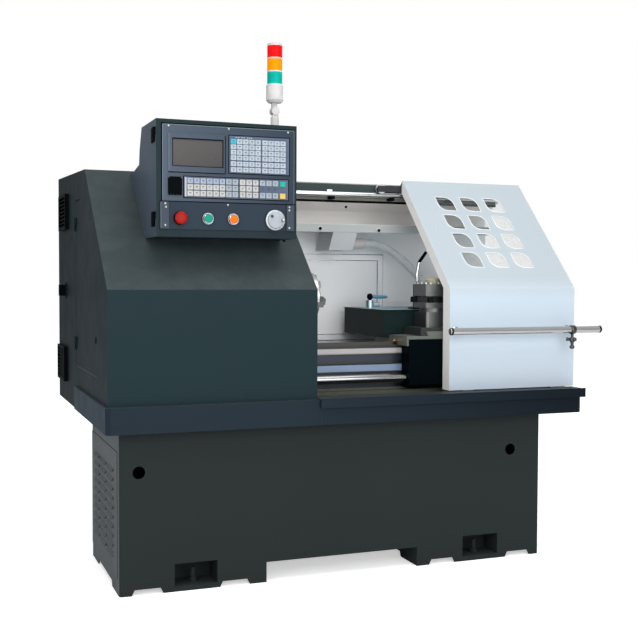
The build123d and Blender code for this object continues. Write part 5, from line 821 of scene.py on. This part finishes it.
# Printed marks on the keys: one longer and one shorter dash each
mark_places = []
for left, top, pitch, columns, rows in (
        (LETTERS_X, MDI_TOP, MDI_PITCH, 5, 4), (LETTERS_X, LOW_TOP, LOW_PITCH, 5, 2),
        (NUMBERS_X, MDI_TOP, MDI_PITCH, 4, 4), (NUMBERS_X, LOW_TOP, LOW_PITCH, 4, 2),
        (MODES_X, RUN_TOP, RUN_PITCH, 6, 3), (GREYS_X, RUN_TOP, NARROW_PITCH, 2, 3),
        (MIDDLE_X, RUN_TOP, WIDE_PITCH, 3, 3), (RIGHT_X, RUN_TOP, WIDE_PITCH, 3, 3)):
    mark_places += [(left + column * pitch[0], 0, top - row * pitch[1])
                    for column, row in grid(columns, range(rows))]
first_x, _, first_z = mark_places[0]
dash_sizes = ((0.0055, 0.0125, 0.0072, 0.0052), (0.0070, 0.0110, 0.0112, 0.0098))
dashes = weld([soft_block((first_x + left, KEY_Y - 0.0002, first_z - low),
                          (first_x + right, KEY_Y + 0.0002, first_z - high), 0.0001, 1)
               for left, right, low, high in dash_sizes])
panel_piece(copies_at(dashes, mark_places), "key_marks", key_print, "key_plastic")
header = soft_block((-0.4660, PAD_Y - 0.0002, 1.4361), (-0.4615, PAD_Y + 0.0002, 1.4383), 0.0001, 1)
header_steps = (0.0075, 0.0190, 0.0255, 0.0370, 0.0435, 0.0500)
panel_piece(copies(header, [(step, 0, 0) for step in header_steps]), "header_marks", key_warm, "key_plastic")

# Dark gaps round the keypads, screen and frame, partly real joints and partly painted shadow (a wider bar
# along the screen's top, bars on the bezel's right and lower edges), group lines, and painted highlights
# along the frame's left, top and right edges and the left edges of the bezel and lower plate
RAIL_FRONT = -0.5650
panel_piece(weld([edge_bars(-0.4889, -0.2848, 1.3225, 1.4445, 0.0024, -0.5601, FRAME_Y + 0.0003),
                  edge_bars(-0.6339, -0.2878, 1.2425, 1.3115, 0.0024, -0.5601, FRAME_Y + 0.0003),
                  edge_bars(-0.6690, -0.5057, 1.3395, 1.4262, 0.0020, -0.5618, -0.5612, "LRB"),
                  edge_bars(-0.6690, -0.5057, 1.3395, 1.4270, 0.0036, -0.5618, -0.5612, "T"),
                  edge_bars(-0.6800, -0.4985, 1.3205, 1.4430, 0.0026, -0.5616, -0.5583, "RB"),
                  edge_bars(-0.7030, -0.2680, 1.2260, 1.4720, 0.0028, -0.5572, -0.5562, "LRT"),
                  soft_block((-0.7062, -0.5600, 1.2300), (-0.2690, -0.5580, 1.2328), 0.0004, 1)] +
                 [soft_block((x, -0.5614, 1.246), (x + 0.0016, PAD_Y + 0.0003, 1.308), 0.0002, 1)
                  for x in (-0.5002, -0.4556, -0.3895)]),
            "keypad_gaps_and_painted_shadow", black_mould, "black_plastic")
panel_piece(weld([edge_bars(-0.69935, -0.26935, 1.2330, 1.468, 0.0016, -0.5591, FRAME_Y + 0.0003, "LT"),
                  edge_bars(-0.2960, -0.26935, 1.2330, 1.468, 0.0012, -0.5591, FRAME_Y + 0.0003, "R"),
                  edge_bars(-0.68035, -0.50035, 1.322, 1.443, 0.0018, -0.5619, -0.5613, "L"),
                  edge_bars(-0.70620, -0.27050, 1.1465, 1.2295, 0.0012, -0.5654, -0.5648, "L")]),
            "panel_painted_highlights", panel_painted_highlight, "panel_paint")
panel_piece(weld([soft_block((-0.7062, RAIL_FRONT, 1.1465), (-0.6795, -0.5593, 1.2295), 0.0012),
                  soft_block((-0.2970, RAIL_FRONT, 1.1465), (-0.2705, -0.5593, 1.2295), 0.0012)]),
            "plate_rails", rail_blue, "panel_paint")

# Screws of the panel, all alike
screw_profile = ((-0.001, 0.0034), (0.0006, 0.0034), (0.0014, 0.0026), (0.0018, 0.0012))
screw_places = ((-0.4874, FRAME_Y, 1.463), (-0.2904, FRAME_Y, 1.462), (-0.6794, FRAME_Y, 1.463),
                (-0.4904, -0.5603, 1.2245), (-0.2874, RAIL_FRONT, 1.2225), (-0.2874, RAIL_FRONT, 1.2125),
                (-0.6914, RAIL_FRONT, 1.2235), (-0.6894, RAIL_FRONT, 1.2130), (-0.2874, RAIL_FRONT, 1.156),
                (-0.6914, RAIL_FRONT, 1.157))
panel_screw = turned_piece(screw_profile, screw_places[0], TO_FRONT, 16)
panel_piece(copies_at(panel_screw, screw_places), "panel_screws", bolt_zinc, "chrome")


# Buttons and the handwheel dial
def facing(profile, x, y, sides, rise=0.0, **more):
    """A turned piece in the row of buttons, facing the operator."""
    return turned_piece(profile, (x, y, BUTTON_Z + rise), TO_FRONT, sides, **more)


COLLAR_Y, STOP_X = -0.5635, -0.64435
ring = ((0.0, 0.0161), (0.0, 0.0184), (0.0018, 0.0184), (0.0030, 0.0174), (0.0030, 0.0161), (0.0, 0.0161))
rim = ((-0.004, 0.0072), (0.0046, 0.0072), (0.0050, 0.0150), (0.0074, 0.0156), (0.0090, 0.0150),
       (0.0094, 0.0136), (0.0080, 0.0130))
lens = ((0.0060, 0.0133), (0.0094, 0.0133), (0.0106, 0.0120), (0.0112, 0.0080), (0.0114, 0.0040))
for name, x, finish, slot in (("start", -0.55635, green_mould, "green_plastic"),
                              ("hold", -0.47435, orange_mould, "orange_plastic")):
    panel_piece(facing(ring, x, COLLAR_Y, 40, closed=True), name + "_collar", grey_metal, "chrome")
    finish_piece(facing(rim, x, COLLAR_Y, 40), name + "_rim", chrome, name + "_head", "chrome",
                 name + "_button")
    finish_piece(facing(lens, x, COLLAR_Y, 40), name + "_lens", finish, name + "_head", slot,
                 name + "_button")
mushroom = ((-0.004, 0.0072), (0.0045, 0.0072), (0.0050, 0.0150), (0.0074, 0.0190), (0.0112, 0.0200),
            (0.0148, 0.0186), (0.0170, 0.0150), (0.0180, 0.0095), (0.0183, 0.0040))
finish_piece(facing(mushroom, STOP_X, COLLAR_Y, 48, smooth=50.0), "stop_mushroom", red_mould, "stop_head",
             "red_plastic", "stop_button")
seat = ((0.0, 0.0162), (0.0, 0.0212), (0.0012, 0.0206), (0.0012, 0.0162), (0.0, 0.0162))
panel_piece(facing(seat, STOP_X, COLLAR_Y, 40, closed=True), "stop_seat", black_mould, "black_plastic")

DIAL_X, DIAL_BACK, DIAL_FACE, TICKS = -0.33535, -0.5598, -0.5722, 50
disc = ((0.0, 0.0322), (0.0022, 0.0330), (0.0078, 0.0330), (0.0092, 0.0316), (0.0096, 0.0272),
        (0.0122, 0.0262), (0.0136, 0.0248), (0.0140, 0.0190), (0.0140, 0.0020))
dial_disc = finish_piece(facing(disc, DIAL_X, DIAL_BACK, 64), "dial_disc", grey_metal, "dial", "silver_metal",
                         "pulse_dial")
dial_disc.data.materials.append(dial_metal)
for face in dial_disc.data.polygons:
    if face.center.y < DIAL_FACE:
        face.material_index = 1
clear_selection()
tick = soft_block((DIAL_X - 0.0003, -0.5696, BUTTON_Z + 0.0278),
                  (DIAL_X + 0.0003, -0.5690, BUTTON_Z + 0.0308),
                  0.0001, 1)
ticks = [tick]
for number in range(1, TICKS):
    clear_selection()
    tick.select_set(True)
    bpy.context.view_layer.objects.active = tick
    bpy.ops.object.duplicate(linked=False)
    twin = bpy.context.object
    work_on(twin)
    bpy.ops.mesh.select_all(action="SELECT")
    bpy.ops.transform.rotate(value=2 * math.pi * number / TICKS, orient_axis="Y",
                             center_override=(DIAL_X, 0, BUTTON_Z))
    bpy.ops.object.mode_set(mode="OBJECT")
    ticks.append(twin)
finish_piece(weld(ticks), "dial_ticks", black_mould, "dial", "black_plastic")
crank = ((0.0, 0.0062), (0.0012, 0.0062), (0.0016, 0.0046), (0.0150, 0.0050), (0.0176, 0.0040),
         (0.0180, 0.0020))
finish_piece(facing(crank, DIAL_X + 0.020, -0.5738, 24), "dial_crank", grey_metal, "dial", "silver_metal")
stub = ((0.0, 0.0046), (0.0030, 0.0046), (0.0042, 0.0034), (0.0044, 0.0015))
finish_piece(facing(stub, DIAL_X - 0.0135, -0.5736, 20, rise=0.0120), "dial_stub", dark_steel, "dial",
             "silver_metal")

# Hinge leaves on the box side, and the port cover with its comb-shaped lower lip
finish_piece(weld([soft_block((-0.7219, -0.5360, z), (-0.7181, -0.4970, z + 0.0460), 0.0008)
                   for z in (1.4135, 1.1535)]), "box_hinge_leaves", black_mould, "base", "black_plastic")
flap = [soft_block((-0.68235, -0.5638, 1.2545), (-0.63835, -0.5588, 1.3030), 0.0018),
        soft_block((-0.67800, -0.5633, 1.3020), (-0.64270, -0.5593, 1.3075), 0.0016)]
flap += [soft_block((-0.6808 + 0.0088 * number, -0.5634, 1.2502),
                    (-0.6746 + 0.0088 * number, -0.5592, 1.2560), 0.0008, 1)
         for number in range(5)]
flap += [soft_block((-0.6780, -0.5641, 1.2640 + 0.0100 * number),
                    (-0.6427, -0.5630, 1.2652 + 0.0100 * number), 0.0004, 1)
         for number in range(4)]
finish_piece(weld(flap), "port_flap_cover", black_mould, "port_flap", "black_plastic", "port_cover")

# Three ribbed lenses of the signal lamp
LENS_X, LENS_Y, LENS_Z = -0.29835, -0.4465, 1.633
for level, (name, finish) in enumerate((("lens_low_green", lamp_green), ("lens_mid_amber", lamp_amber),
                                        ("lens_top_red", lamp_red))):
    profile = [(0.0, 0.0200), (0.0, 0.0250)]
    for rib in range(12):
        foot = 0.0015 + rib * 0.0030
        profile += [(foot, 0.0252), (foot + 0.0018, 0.0252), (foot + 0.0024, 0.0245)]
    profile += [(0.0390, 0.0250), (0.0390, 0.0200), (0.0, 0.0200)]
    finish_piece(turned_piece(profile, (LENS_X, LENS_Y, LENS_Z + 0.043 * level), UPWARD, 48, closed=True),
                 name, finish,
                 "lamp", "lamp_plastic", "lamp_lenses")

# Screws with washers on the shelf's lip
for kind, profile, finish, slot in (
        ("washers", ((-0.002, 0.0095), (0.0012, 0.0095), (0.0018, 0.0085)), white_mould, "white_plastic"),
        ("bolts", ((0.001, 0.0062), (0.0045, 0.0062), (0.0058, 0.0048), (0.0060, 0.0020)), black_mould,
         "black_plastic")):
    head = turned_piece(profile, (0.0016, -0.0880, 1.181), TO_FRONT, 20)
    finish_piece(copies(head, [(0.2401, 0, -0.003), (0.4802, 0, -0.003)]), "shelf_" + kind, finish, "base",
                 slot)

# Turret: clamping bolts on the head, and brass fittings on the saddle
bolt_profile = ((-0.002, 0.0058), (0.0052, 0.0058), (0.0060, 0.0050), (0.0060, 0.0030), (0.0030, 0.0028))
TURRET_X, TURRET_Y, TURRET_TOP = 0.32365, -0.3845, 0.9756
bolt_shifts = []
for along in (-0.032, 0.0, 0.032):
    bolt_shifts += [(along, -0.0445), (along, 0.0445), (-0.0445, along), (0.0445, along)]
bolt_shifts = sorted(set(bolt_shifts))
start = Vector((TURRET_X + bolt_shifts[0][0], TURRET_Y + bolt_shifts[0][1], TURRET_TOP))
bolt = turned_piece(bolt_profile, start, (0, 0, 1), 12, smooth=20.0)
finish_piece(copies(bolt, [(TURRET_X + x - start.x, TURRET_Y + y - start.y, 0) for x, y in bolt_shifts[1:]]),
             "turret_bolts", bolt_zinc, "turret", "ground_steel")
fitting = ((-0.003, 0.0040), (0.0050, 0.0040), (0.0050, 0.0062), (0.0110, 0.0062), (0.0110, 0.0036),
           (0.0170, 0.0034),
           (0.0180, 0.0022))
finish_piece(weld([turned_piece(fitting, (0.1797, -0.3910, 0.7745), (-1, -0.15, 0.1), 16, smooth=25.0),
                   turned_piece(fitting, (0.1797, -0.3790, 0.7665), (-1, 0.1, -0.1), 16, smooth=25.0)]),
             "oil_fittings", brass, "carriage", "brass")

# Coolant valve: a plate, a dipped lever and its round black knob
finish_piece(soft_block((0.1700, -0.1560, 0.8822), (0.2720, -0.1000, 0.8846), 0.0008), "valve_plate",
             pale_metal, "cross",
             "pale_sheet")
grip = ((0.0, 0.0040), (0.004, 0.0062), (0.010, 0.0072), (0.040, 0.0066), (0.058, 0.0058), (0.0620, 0.0030))
finish_piece(turned_piece(grip, (0.2000, -0.1265, 0.9255), (1, 0, -0.02), 24), "valve_grip", blue_dip,
             "valve_handle",
             "blue_plastic", "valve_lever")
knob = ((0.0, 0.0070), (0.002, 0.0105), (0.008, 0.0120), (0.014, 0.0112), (0.018, 0.0080), (0.019, 0.0030))
finish_piece(weld([turned_piece(knob, (0.1990, -0.1265, 0.9260), (-1, 0, 0), 24, smooth=60.0),
                   turned_piece(((0.0, 0.0060), (0.0160, 0.0060)), (0.18965, -0.1265, 0.9110), UPWARD, 20)]),
             "valve_knob", black_mould, "valve_handle", "black_plastic", "valve_lever")

# Sleeve where the conduit leaves the duct
sleeve = ((0.0, 0.0182), (0.0, 0.0205), (0.0020, 0.0212), (0.0520, 0.0212), (0.0550, 0.0204),
          (0.0550, 0.0182),
          (0.0, 0.0182))
finish_piece(turned_piece(sleeve, (0.1690, 0.0235, 1.1308), (1, -0.012, 0.034), 32, closed=True),
             "conduit_sleeve",
             white_mould, "base", "white_plastic")

# Raised frame of the access panel on the back wall: its seams, grey lines that are partly dark joints and
# partly painted shade along the frame's edges
WALL_Y, RING_Y = 0.1035, 0.0975
finish_piece(weld([edge_bars(-0.0565, 0.3479, 0.7470, 1.0912, 0.0020, WALL_Y - 0.0006, WALL_Y + 0.0002),
                   edge_bars(-0.0324, 0.3237, 0.7710, 1.0670, 0.0026, WALL_Y - 0.0006, WALL_Y + 0.0002),
                   edge_bars(-0.0540, 0.3455, 0.7492, 1.0888, 0.0012, RING_Y - 0.0004, RING_Y + 0.0002)]),
             "access_seams_and_painted_shade", grey_metal, "base", "pale_sheet")

# A carrier plate under the roof beam behind the door rail, holding a black strip that stands for the shadow
# under the rail as painted shadow, dark feet of the rail, and a roof screw
finish_piece(soft_block((-0.1890, -0.0945, 1.2860), (0.7480, -0.0925, 1.3135), 0.0004, 1), "shadow_strip_carrier",
             carrier_brown, "base", "pale_sheet")
finish_piece(soft_block((-0.1890, -0.0985, 1.2800), (0.7480, -0.0915, 1.2880), 0.0012), "rail_shadow_strip",
             black_mould,
             "base", "black_plastic")

rail_foot = soft_block((0.0276, -0.1225, 1.2900), (0.0476, -0.0940, 1.3030), 0.0015)
finish_piece(copies(rail_foot, [(0.2440, 0, 0), (0.4880, 0, 0)]), "rail_feet", black_mould, "base",
             "black_plastic")
finish_piece(turned_piece(((-0.002, 0.0050), (0.0030, 0.0050), (0.0042, 0.0036), (0.0045, 0.0015)),
                          (0.1437, 0.0035, 1.2710),
                          (0, -0.45, -0.9), 16), "roof_screw", dark_steel, "base", "black_plastic")

# Window trims: a slim white bead along each leaf-shaped window; its white, brighter than the door paint, is a
# painted highlight on the cut edges
DOOR_X, DOOR_Y, KNEE_Z = 0.31665, -0.5275, 0.963
SLOPE_Y, SLOPE_Z = 0.6954, 0.7186
WIDE, TALL, ROUND = 0.068, 0.075, 0.034


def on_slope(across, up, proud=0.0):
    """A place on the door's slanted half."""
    return Vector((DOOR_X + across, DOOR_Y + up * SLOPE_Y - proud * SLOPE_Z,
                   KNEE_Z + up * SLOPE_Z + proud * SLOPE_Y))


outline = [(0.0, ROUND), (0.0, TALL), (WIDE - ROUND, TALL)]
outline += [(WIDE - ROUND + ROUND * math.sin(turn * math.pi / 16),
             TALL - ROUND + ROUND * math.cos(turn * math.pi / 16))
            for turn in range(1, 8)]
outline += [(WIDE, TALL - ROUND), (WIDE, 0.0), (ROUND, 0.0)]
outline += [(ROUND - ROUND * math.sin(turn * math.pi / 16), ROUND - ROUND * math.cos(turn * math.pi / 16))
            for turn in range(1, 8)]
clear_selection()
bead_line = bpy.data.curves.new("window_bead", "CURVE")
bead_line.dimensions = "3D"
bead_line.bevel_depth = 0.0016
bead_line.bevel_resolution = 2
bead_path = bead_line.splines.new("POLY")
bead_path.points.add(len(outline) - 1)
for point, (across, up) in zip(bead_path.points, outline):
    point.co = (*on_slope(0.107 + across, 0.102 + up, 0.0004), 1)
bead_path.use_cyclic_u = True
bead = bpy.data.objects.new("window_bead", bead_line)
bpy.context.scene.collection.objects.link(bead)
bead.select_set(True)
bpy.context.view_layer.objects.active = bead
bpy.ops.object.convert(target="MESH")
bead = bpy.context.object
bpy.ops.object.shade_smooth_by_angle(angle=math.radians(40.0))
steps = [on_slope(0.103 * column, 0.099 * row) - on_slope(0, 0) for column in range(3) for row in range(4)]
finish_piece(copies(bead, [tuple(step) for step in steps[1:]]), "window_trim_highlights", trim_painted_highlight, "door",
             "white_paint")

# Handle bar with end caps, standoffs and a clamp with a three-armed knob
BAR_X, BAR_Y, BAR_Z, BAR_LONG = 0.28365, -0.5895, 0.815, 0.614
bar = ((0.0, 0.0080), (0.0012, 0.0110), (0.0040, 0.0123), (0.0100, 0.0123), (BAR_LONG - 0.010, 0.0123),
       (BAR_LONG - 0.004, 0.0123), (BAR_LONG - 0.0012, 0.0110), (BAR_LONG, 0.0080))
finish_piece(turned_piece(bar, (BAR_X, BAR_Y, BAR_Z), TO_RIGHT, 40), "handle_tube", bar_chrome, "door",
             "chrome",
             "handle_bar")
cap = ((0.0, 0.0121), (0.0, 0.0126), (0.0070, 0.0127), (0.0070, 0.0121), (0.0, 0.0121))
finish_piece(weld([turned_piece(cap, (BAR_X + 0.003, BAR_Y, BAR_Z), TO_RIGHT, 40, closed=True),
                   turned_piece(cap, (BAR_X + BAR_LONG - 0.010, BAR_Y, BAR_Z), TO_RIGHT, 40, closed=True)]),
             "handle_caps", black_mould, "door", "black_plastic", "handle_bar")
standoff = ((0.0, 0.0135), (0.0025, 0.0135), (0.0040, 0.0080), (0.0500, 0.0080))
finish_piece(weld([turned_piece(standoff, (x, DOOR_Y - 0.0002, BAR_Z), TO_FRONT, 28) for x in (0.33865,
                                                                                               0.79365)]),
             "handle_standoffs", bar_chrome, "door", "chrome", "handle_bar")
clamp = ((0.0, 0.0124), (0.0, 0.0150), (0.0015, 0.0160), (0.0165, 0.0160), (0.0180, 0.0150), (0.0180, 0.0124),
         (0.0, 0.0124))
stem = ((0.0, 0.0048), (0.0160, 0.0048), (0.0160, 0.0085), (0.0200, 0.0095), (0.0300, 0.0095),
        (0.0330, 0.0070),
        (0.0360, 0.0055), (0.0440, 0.0055), (0.0450, 0.0080), (0.0500, 0.0092), (0.0550, 0.0080),
        (0.0570, 0.0040))
arm = ((0.0050, 0.0040), (0.0110, 0.0042), (0.0130, 0.0062), (0.0170, 0.0072), (0.0205, 0.0060),
       (0.0220, 0.0030))
KNOB_X = 0.7765
knob_parts = [turned_piece(clamp, (KNOB_X - 0.009, BAR_Y, BAR_Z), TO_RIGHT, 40, closed=True),
              turned_piece(stem, (KNOB_X, BAR_Y, BAR_Z - 0.0120), (0, 0, -1), 28)]
knob_parts += [turned_piece(arm, (KNOB_X, BAR_Y, BAR_Z - 0.0370), (math.cos(turn), math.sin(turn), 0.15), 20,
                            smooth=60.0)
               for turn in (0.5, 0.5 + 2 * math.pi / 3, 0.5 + 4 * math.pi / 3)]
finish_piece(weld(knob_parts), "clamp_knob", knob_chrome, "door", "chrome", "handle_bar")

# Rolling coolant tank: raised body with a turned rim, lid, pump and four castors
tank_low, tank_high = (Vector(corner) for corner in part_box("coolant_tank"))
TANK_FOOT, TANK_TOP = 0.050, 0.290
tank = soft_block((tank_low.x, tank_low.y, TANK_FOOT), (tank_high.x, tank_high.y, TANK_TOP), 0.008)
work_on(tank)
pick_faces(tank, lambda centre, normal: centre.z > TANK_TOP - 0.0005 and normal.z > 0.9)
bpy.ops.mesh.inset(thickness=0.003)
bpy.ops.mesh.extrude_region_move(TRANSFORM_OT_translate={"value": (0, 0, -0.230)})
bpy.ops.object.mode_set(mode="OBJECT")
lid = soft_block((tank_high.x - 0.200, tank_low.y, TANK_TOP), (tank_high.x, tank_high.y, TANK_TOP + 0.003),
                 0.001)
finish_piece(weld([tank, lid]), "tank_body", tank_grey, "base", "tank_paint", "coolant_tank")
pump = ((0.0, 0.0600), (0.0060, 0.0600), (0.0080, 0.0550), (0.0900, 0.0550), (0.0920, 0.0520),
        (0.0980, 0.0520),
        (0.1000, 0.0550), (0.1280, 0.0540), (0.1340, 0.0470), (0.1370, 0.0200))
finish_piece(turned_piece(pump, (tank_high.x - 0.100, tank_high.y - 0.100, TANK_TOP + 0.0032), UPWARD, 48),
             "tank_pump",
             motor_grey, "base", "motor_paint", "coolant_tank")
wheel = ((0.0, 0.0080), (0.0, 0.0170), (0.0020, 0.0190), (0.0120, 0.0190), (0.0140, 0.0170), (0.0140, 0.0080),
         (0.0, 0.0080))
castor = weld([turned_piece(wheel, (-0.007, 0, tank_low.z + 0.0192), TO_RIGHT, 28, closed=True),
               soft_block((-0.0105, -0.010, tank_low.z + 0.0150), (-0.0080, 0.012, TANK_FOOT + 0.0005),
                          0.0008, 1),
               soft_block((0.0080, -0.010, tank_low.z + 0.0150), (0.0105, 0.012, TANK_FOOT + 0.0005), 0.0008,
                          1),
               turned_piece(((-0.0112, 0.0040), (0.0112, 0.0040)), (0, 0, tank_low.z + 0.0192), TO_RIGHT,
                            16)])
castor_places = [(x, y, 0) for x in (tank_low.x + 0.045, tank_high.x - 0.045) for y in (-0.275,
                                                                                        tank_high.y - 0.045)]
castor.location = castor_places[0]
set_place(castor)
finish_piece(copies(castor, [tuple(Vector(place) - Vector(castor_places[0])) for place in castor_places[1:]]),
             "tank_castors", black_mould, "base", "black_plastic", "coolant_tank")

# Seam of the belt door in the left end: pale lines along its front, lower and rear edges as painted
# highlights, and black lines on the slant and top
LINE_BACK, LINE_FRONT = -0.8694, -0.8702
seam = [soft_block((LINE_FRONT, -0.3625, 0.6720), (LINE_BACK, -0.3602, 0.9340), 0.0002, 1),
        soft_block((LINE_FRONT, -0.3602, 0.6720), (LINE_BACK, 0.1015, 0.6743), 0.0002, 1),
        soft_block((LINE_FRONT, 0.0992, 0.6743), (LINE_BACK, 0.1015, 1.2700), 0.0002, 1)]
finish_piece(weld(seam), "belt_door_seam_highlight", painted_light_grey, "belt_cover", "navy_paint")
slant = soft_block((LINE_FRONT, -0.2485, -0.0015), (LINE_BACK, 0.2485, 0.0015), 0.0002, 1)
slant.rotation_euler = (math.atan2(0.336, 0.367), 0, 0)
slant.location = (0, (-0.3625 + 0.0045) / 2, (0.934 + 1.270) / 2)
set_place(slant)
finish_piece(weld([slant, soft_block((LINE_FRONT, 0.0045, 1.2672), (LINE_BACK, 0.0992, 1.2700), 0.0002, 1)]),
             "belt_door_top_seam", black_mould, "belt_cover", "black_plastic")


# Studio: pale floor, white surround and soft lamps
def build_floor():
    """A wide pale floor that keeps the shadow and looks white in the camera."""
    clear_selection()
    bpy.ops.mesh.primitive_plane_add(size=24.0)
    floor = bpy.context.object
    floor.name = "floor"
    material = bpy.data.materials.new("studio_floor")
    material.use_nodes = True
    tree = material.node_tree
    shader = tree.nodes["Principled BSDF"]
    shader.inputs["Base Color"].default_value = (0.93, 0.93, 0.93, 1)
    shader.inputs["Roughness"].default_value = 0.9
    shader.inputs["Specular IOR Level"].default_value = 0.1
    path = tree.nodes.new("ShaderNodeLightPath")
    lift = math_node(tree, "MULTIPLY", path.outputs["Is Camera Ray"], 0.5)
    shader.inputs["Emission Color"].default_value = (1, 1, 1, 1)
    join(tree, lift, shader.inputs["Emission Strength"])
    floor.data.materials.append(material)


def build_world(strength):
    """Even studio light, white where the camera, gloss and glass look past the object."""
    world = bpy.data.worlds.new("studio")
    bpy.context.scene.world = world
    world.use_nodes = True
    tree = world.node_tree
    tree.nodes.clear()
    output = tree.nodes.new("ShaderNodeOutputWorld")
    soft = tree.nodes.new("ShaderNodeBackground")
    place = tree.nodes.new("ShaderNodeTexCoord")
    split = tree.nodes.new("ShaderNodeSeparateXYZ")
    join(tree, place.outputs["Generated"], split.inputs[0])
    rise = remap(tree, split.outputs["Z"], -0.15, 0.6, 0.55, 1.25)
    join(tree, math_node(tree, "MULTIPLY", rise, strength), soft.inputs["Strength"])
    soft.inputs["Color"].default_value = (0.97, 0.985, 1.0, 1)
    white = tree.nodes.new("ShaderNodeBackground")
    white.inputs["Color"].default_value = (1, 1, 1, 1)
    white.inputs["Strength"].default_value = 1.0
    path = tree.nodes.new("ShaderNodeLightPath")
    seen = math_node(tree, "MAXIMUM", path.outputs["Is Camera Ray"], path.outputs["Is Transmission Ray"])
    glossy = math_node(tree, "MULTIPLY", path.outputs["Is Glossy Ray"], 0.2)
    seen = math_node(tree, "MAXIMUM", seen, glossy)
    mixer = tree.nodes.new("ShaderNodeMixShader")
    join(tree, seen, mixer.inputs[0])
    join(tree, soft.outputs[0], mixer.inputs[1])
    join(tree, white.outputs[0], mixer.inputs[2])
    join(tree, mixer.outputs[0], output.inputs["Surface"])


def add_lamp(name, place, target, size, power, colour=(1, 1, 1)):
    """A large soft lamp that faces a target."""
    clear_selection()
    bpy.ops.object.light_add(type="AREA", location=place)
    lamp = bpy.context.object
    lamp.name = name
    lamp.data.shape = "RECTANGLE"
    lamp.data.size, lamp.data.size_y = size
    lamp.data.energy = power
    lamp.data.color = colour
    lamp.rotation_mode = "QUATERNION"
    lamp.rotation_quaternion = (Vector(target) - Vector(place)).to_track_quat("-Z", "Y")


build_floor()
build_world(0.5)
add_lamp("overhead_softbox", (-0.3, -1.6, 4.2), (0.0, 0.0, 0.9), (4.0, 3.0), 80.0)
add_lamp("front_softbox", (0.2, -4.6, 1.8), (0.1, 0.0, 1.0), (3.4, 2.4), 92.0)
add_lamp("left_softbox", (-3.3, -3.1, 1.7), (0.1, -0.3, 0.9), (2.2, 2.0), 40.0)
add_lamp("rear_softbox", (2.6, 3.8, 3.0), (0.0, 0.0, 1.0), (3.0, 2.0), 40.0)
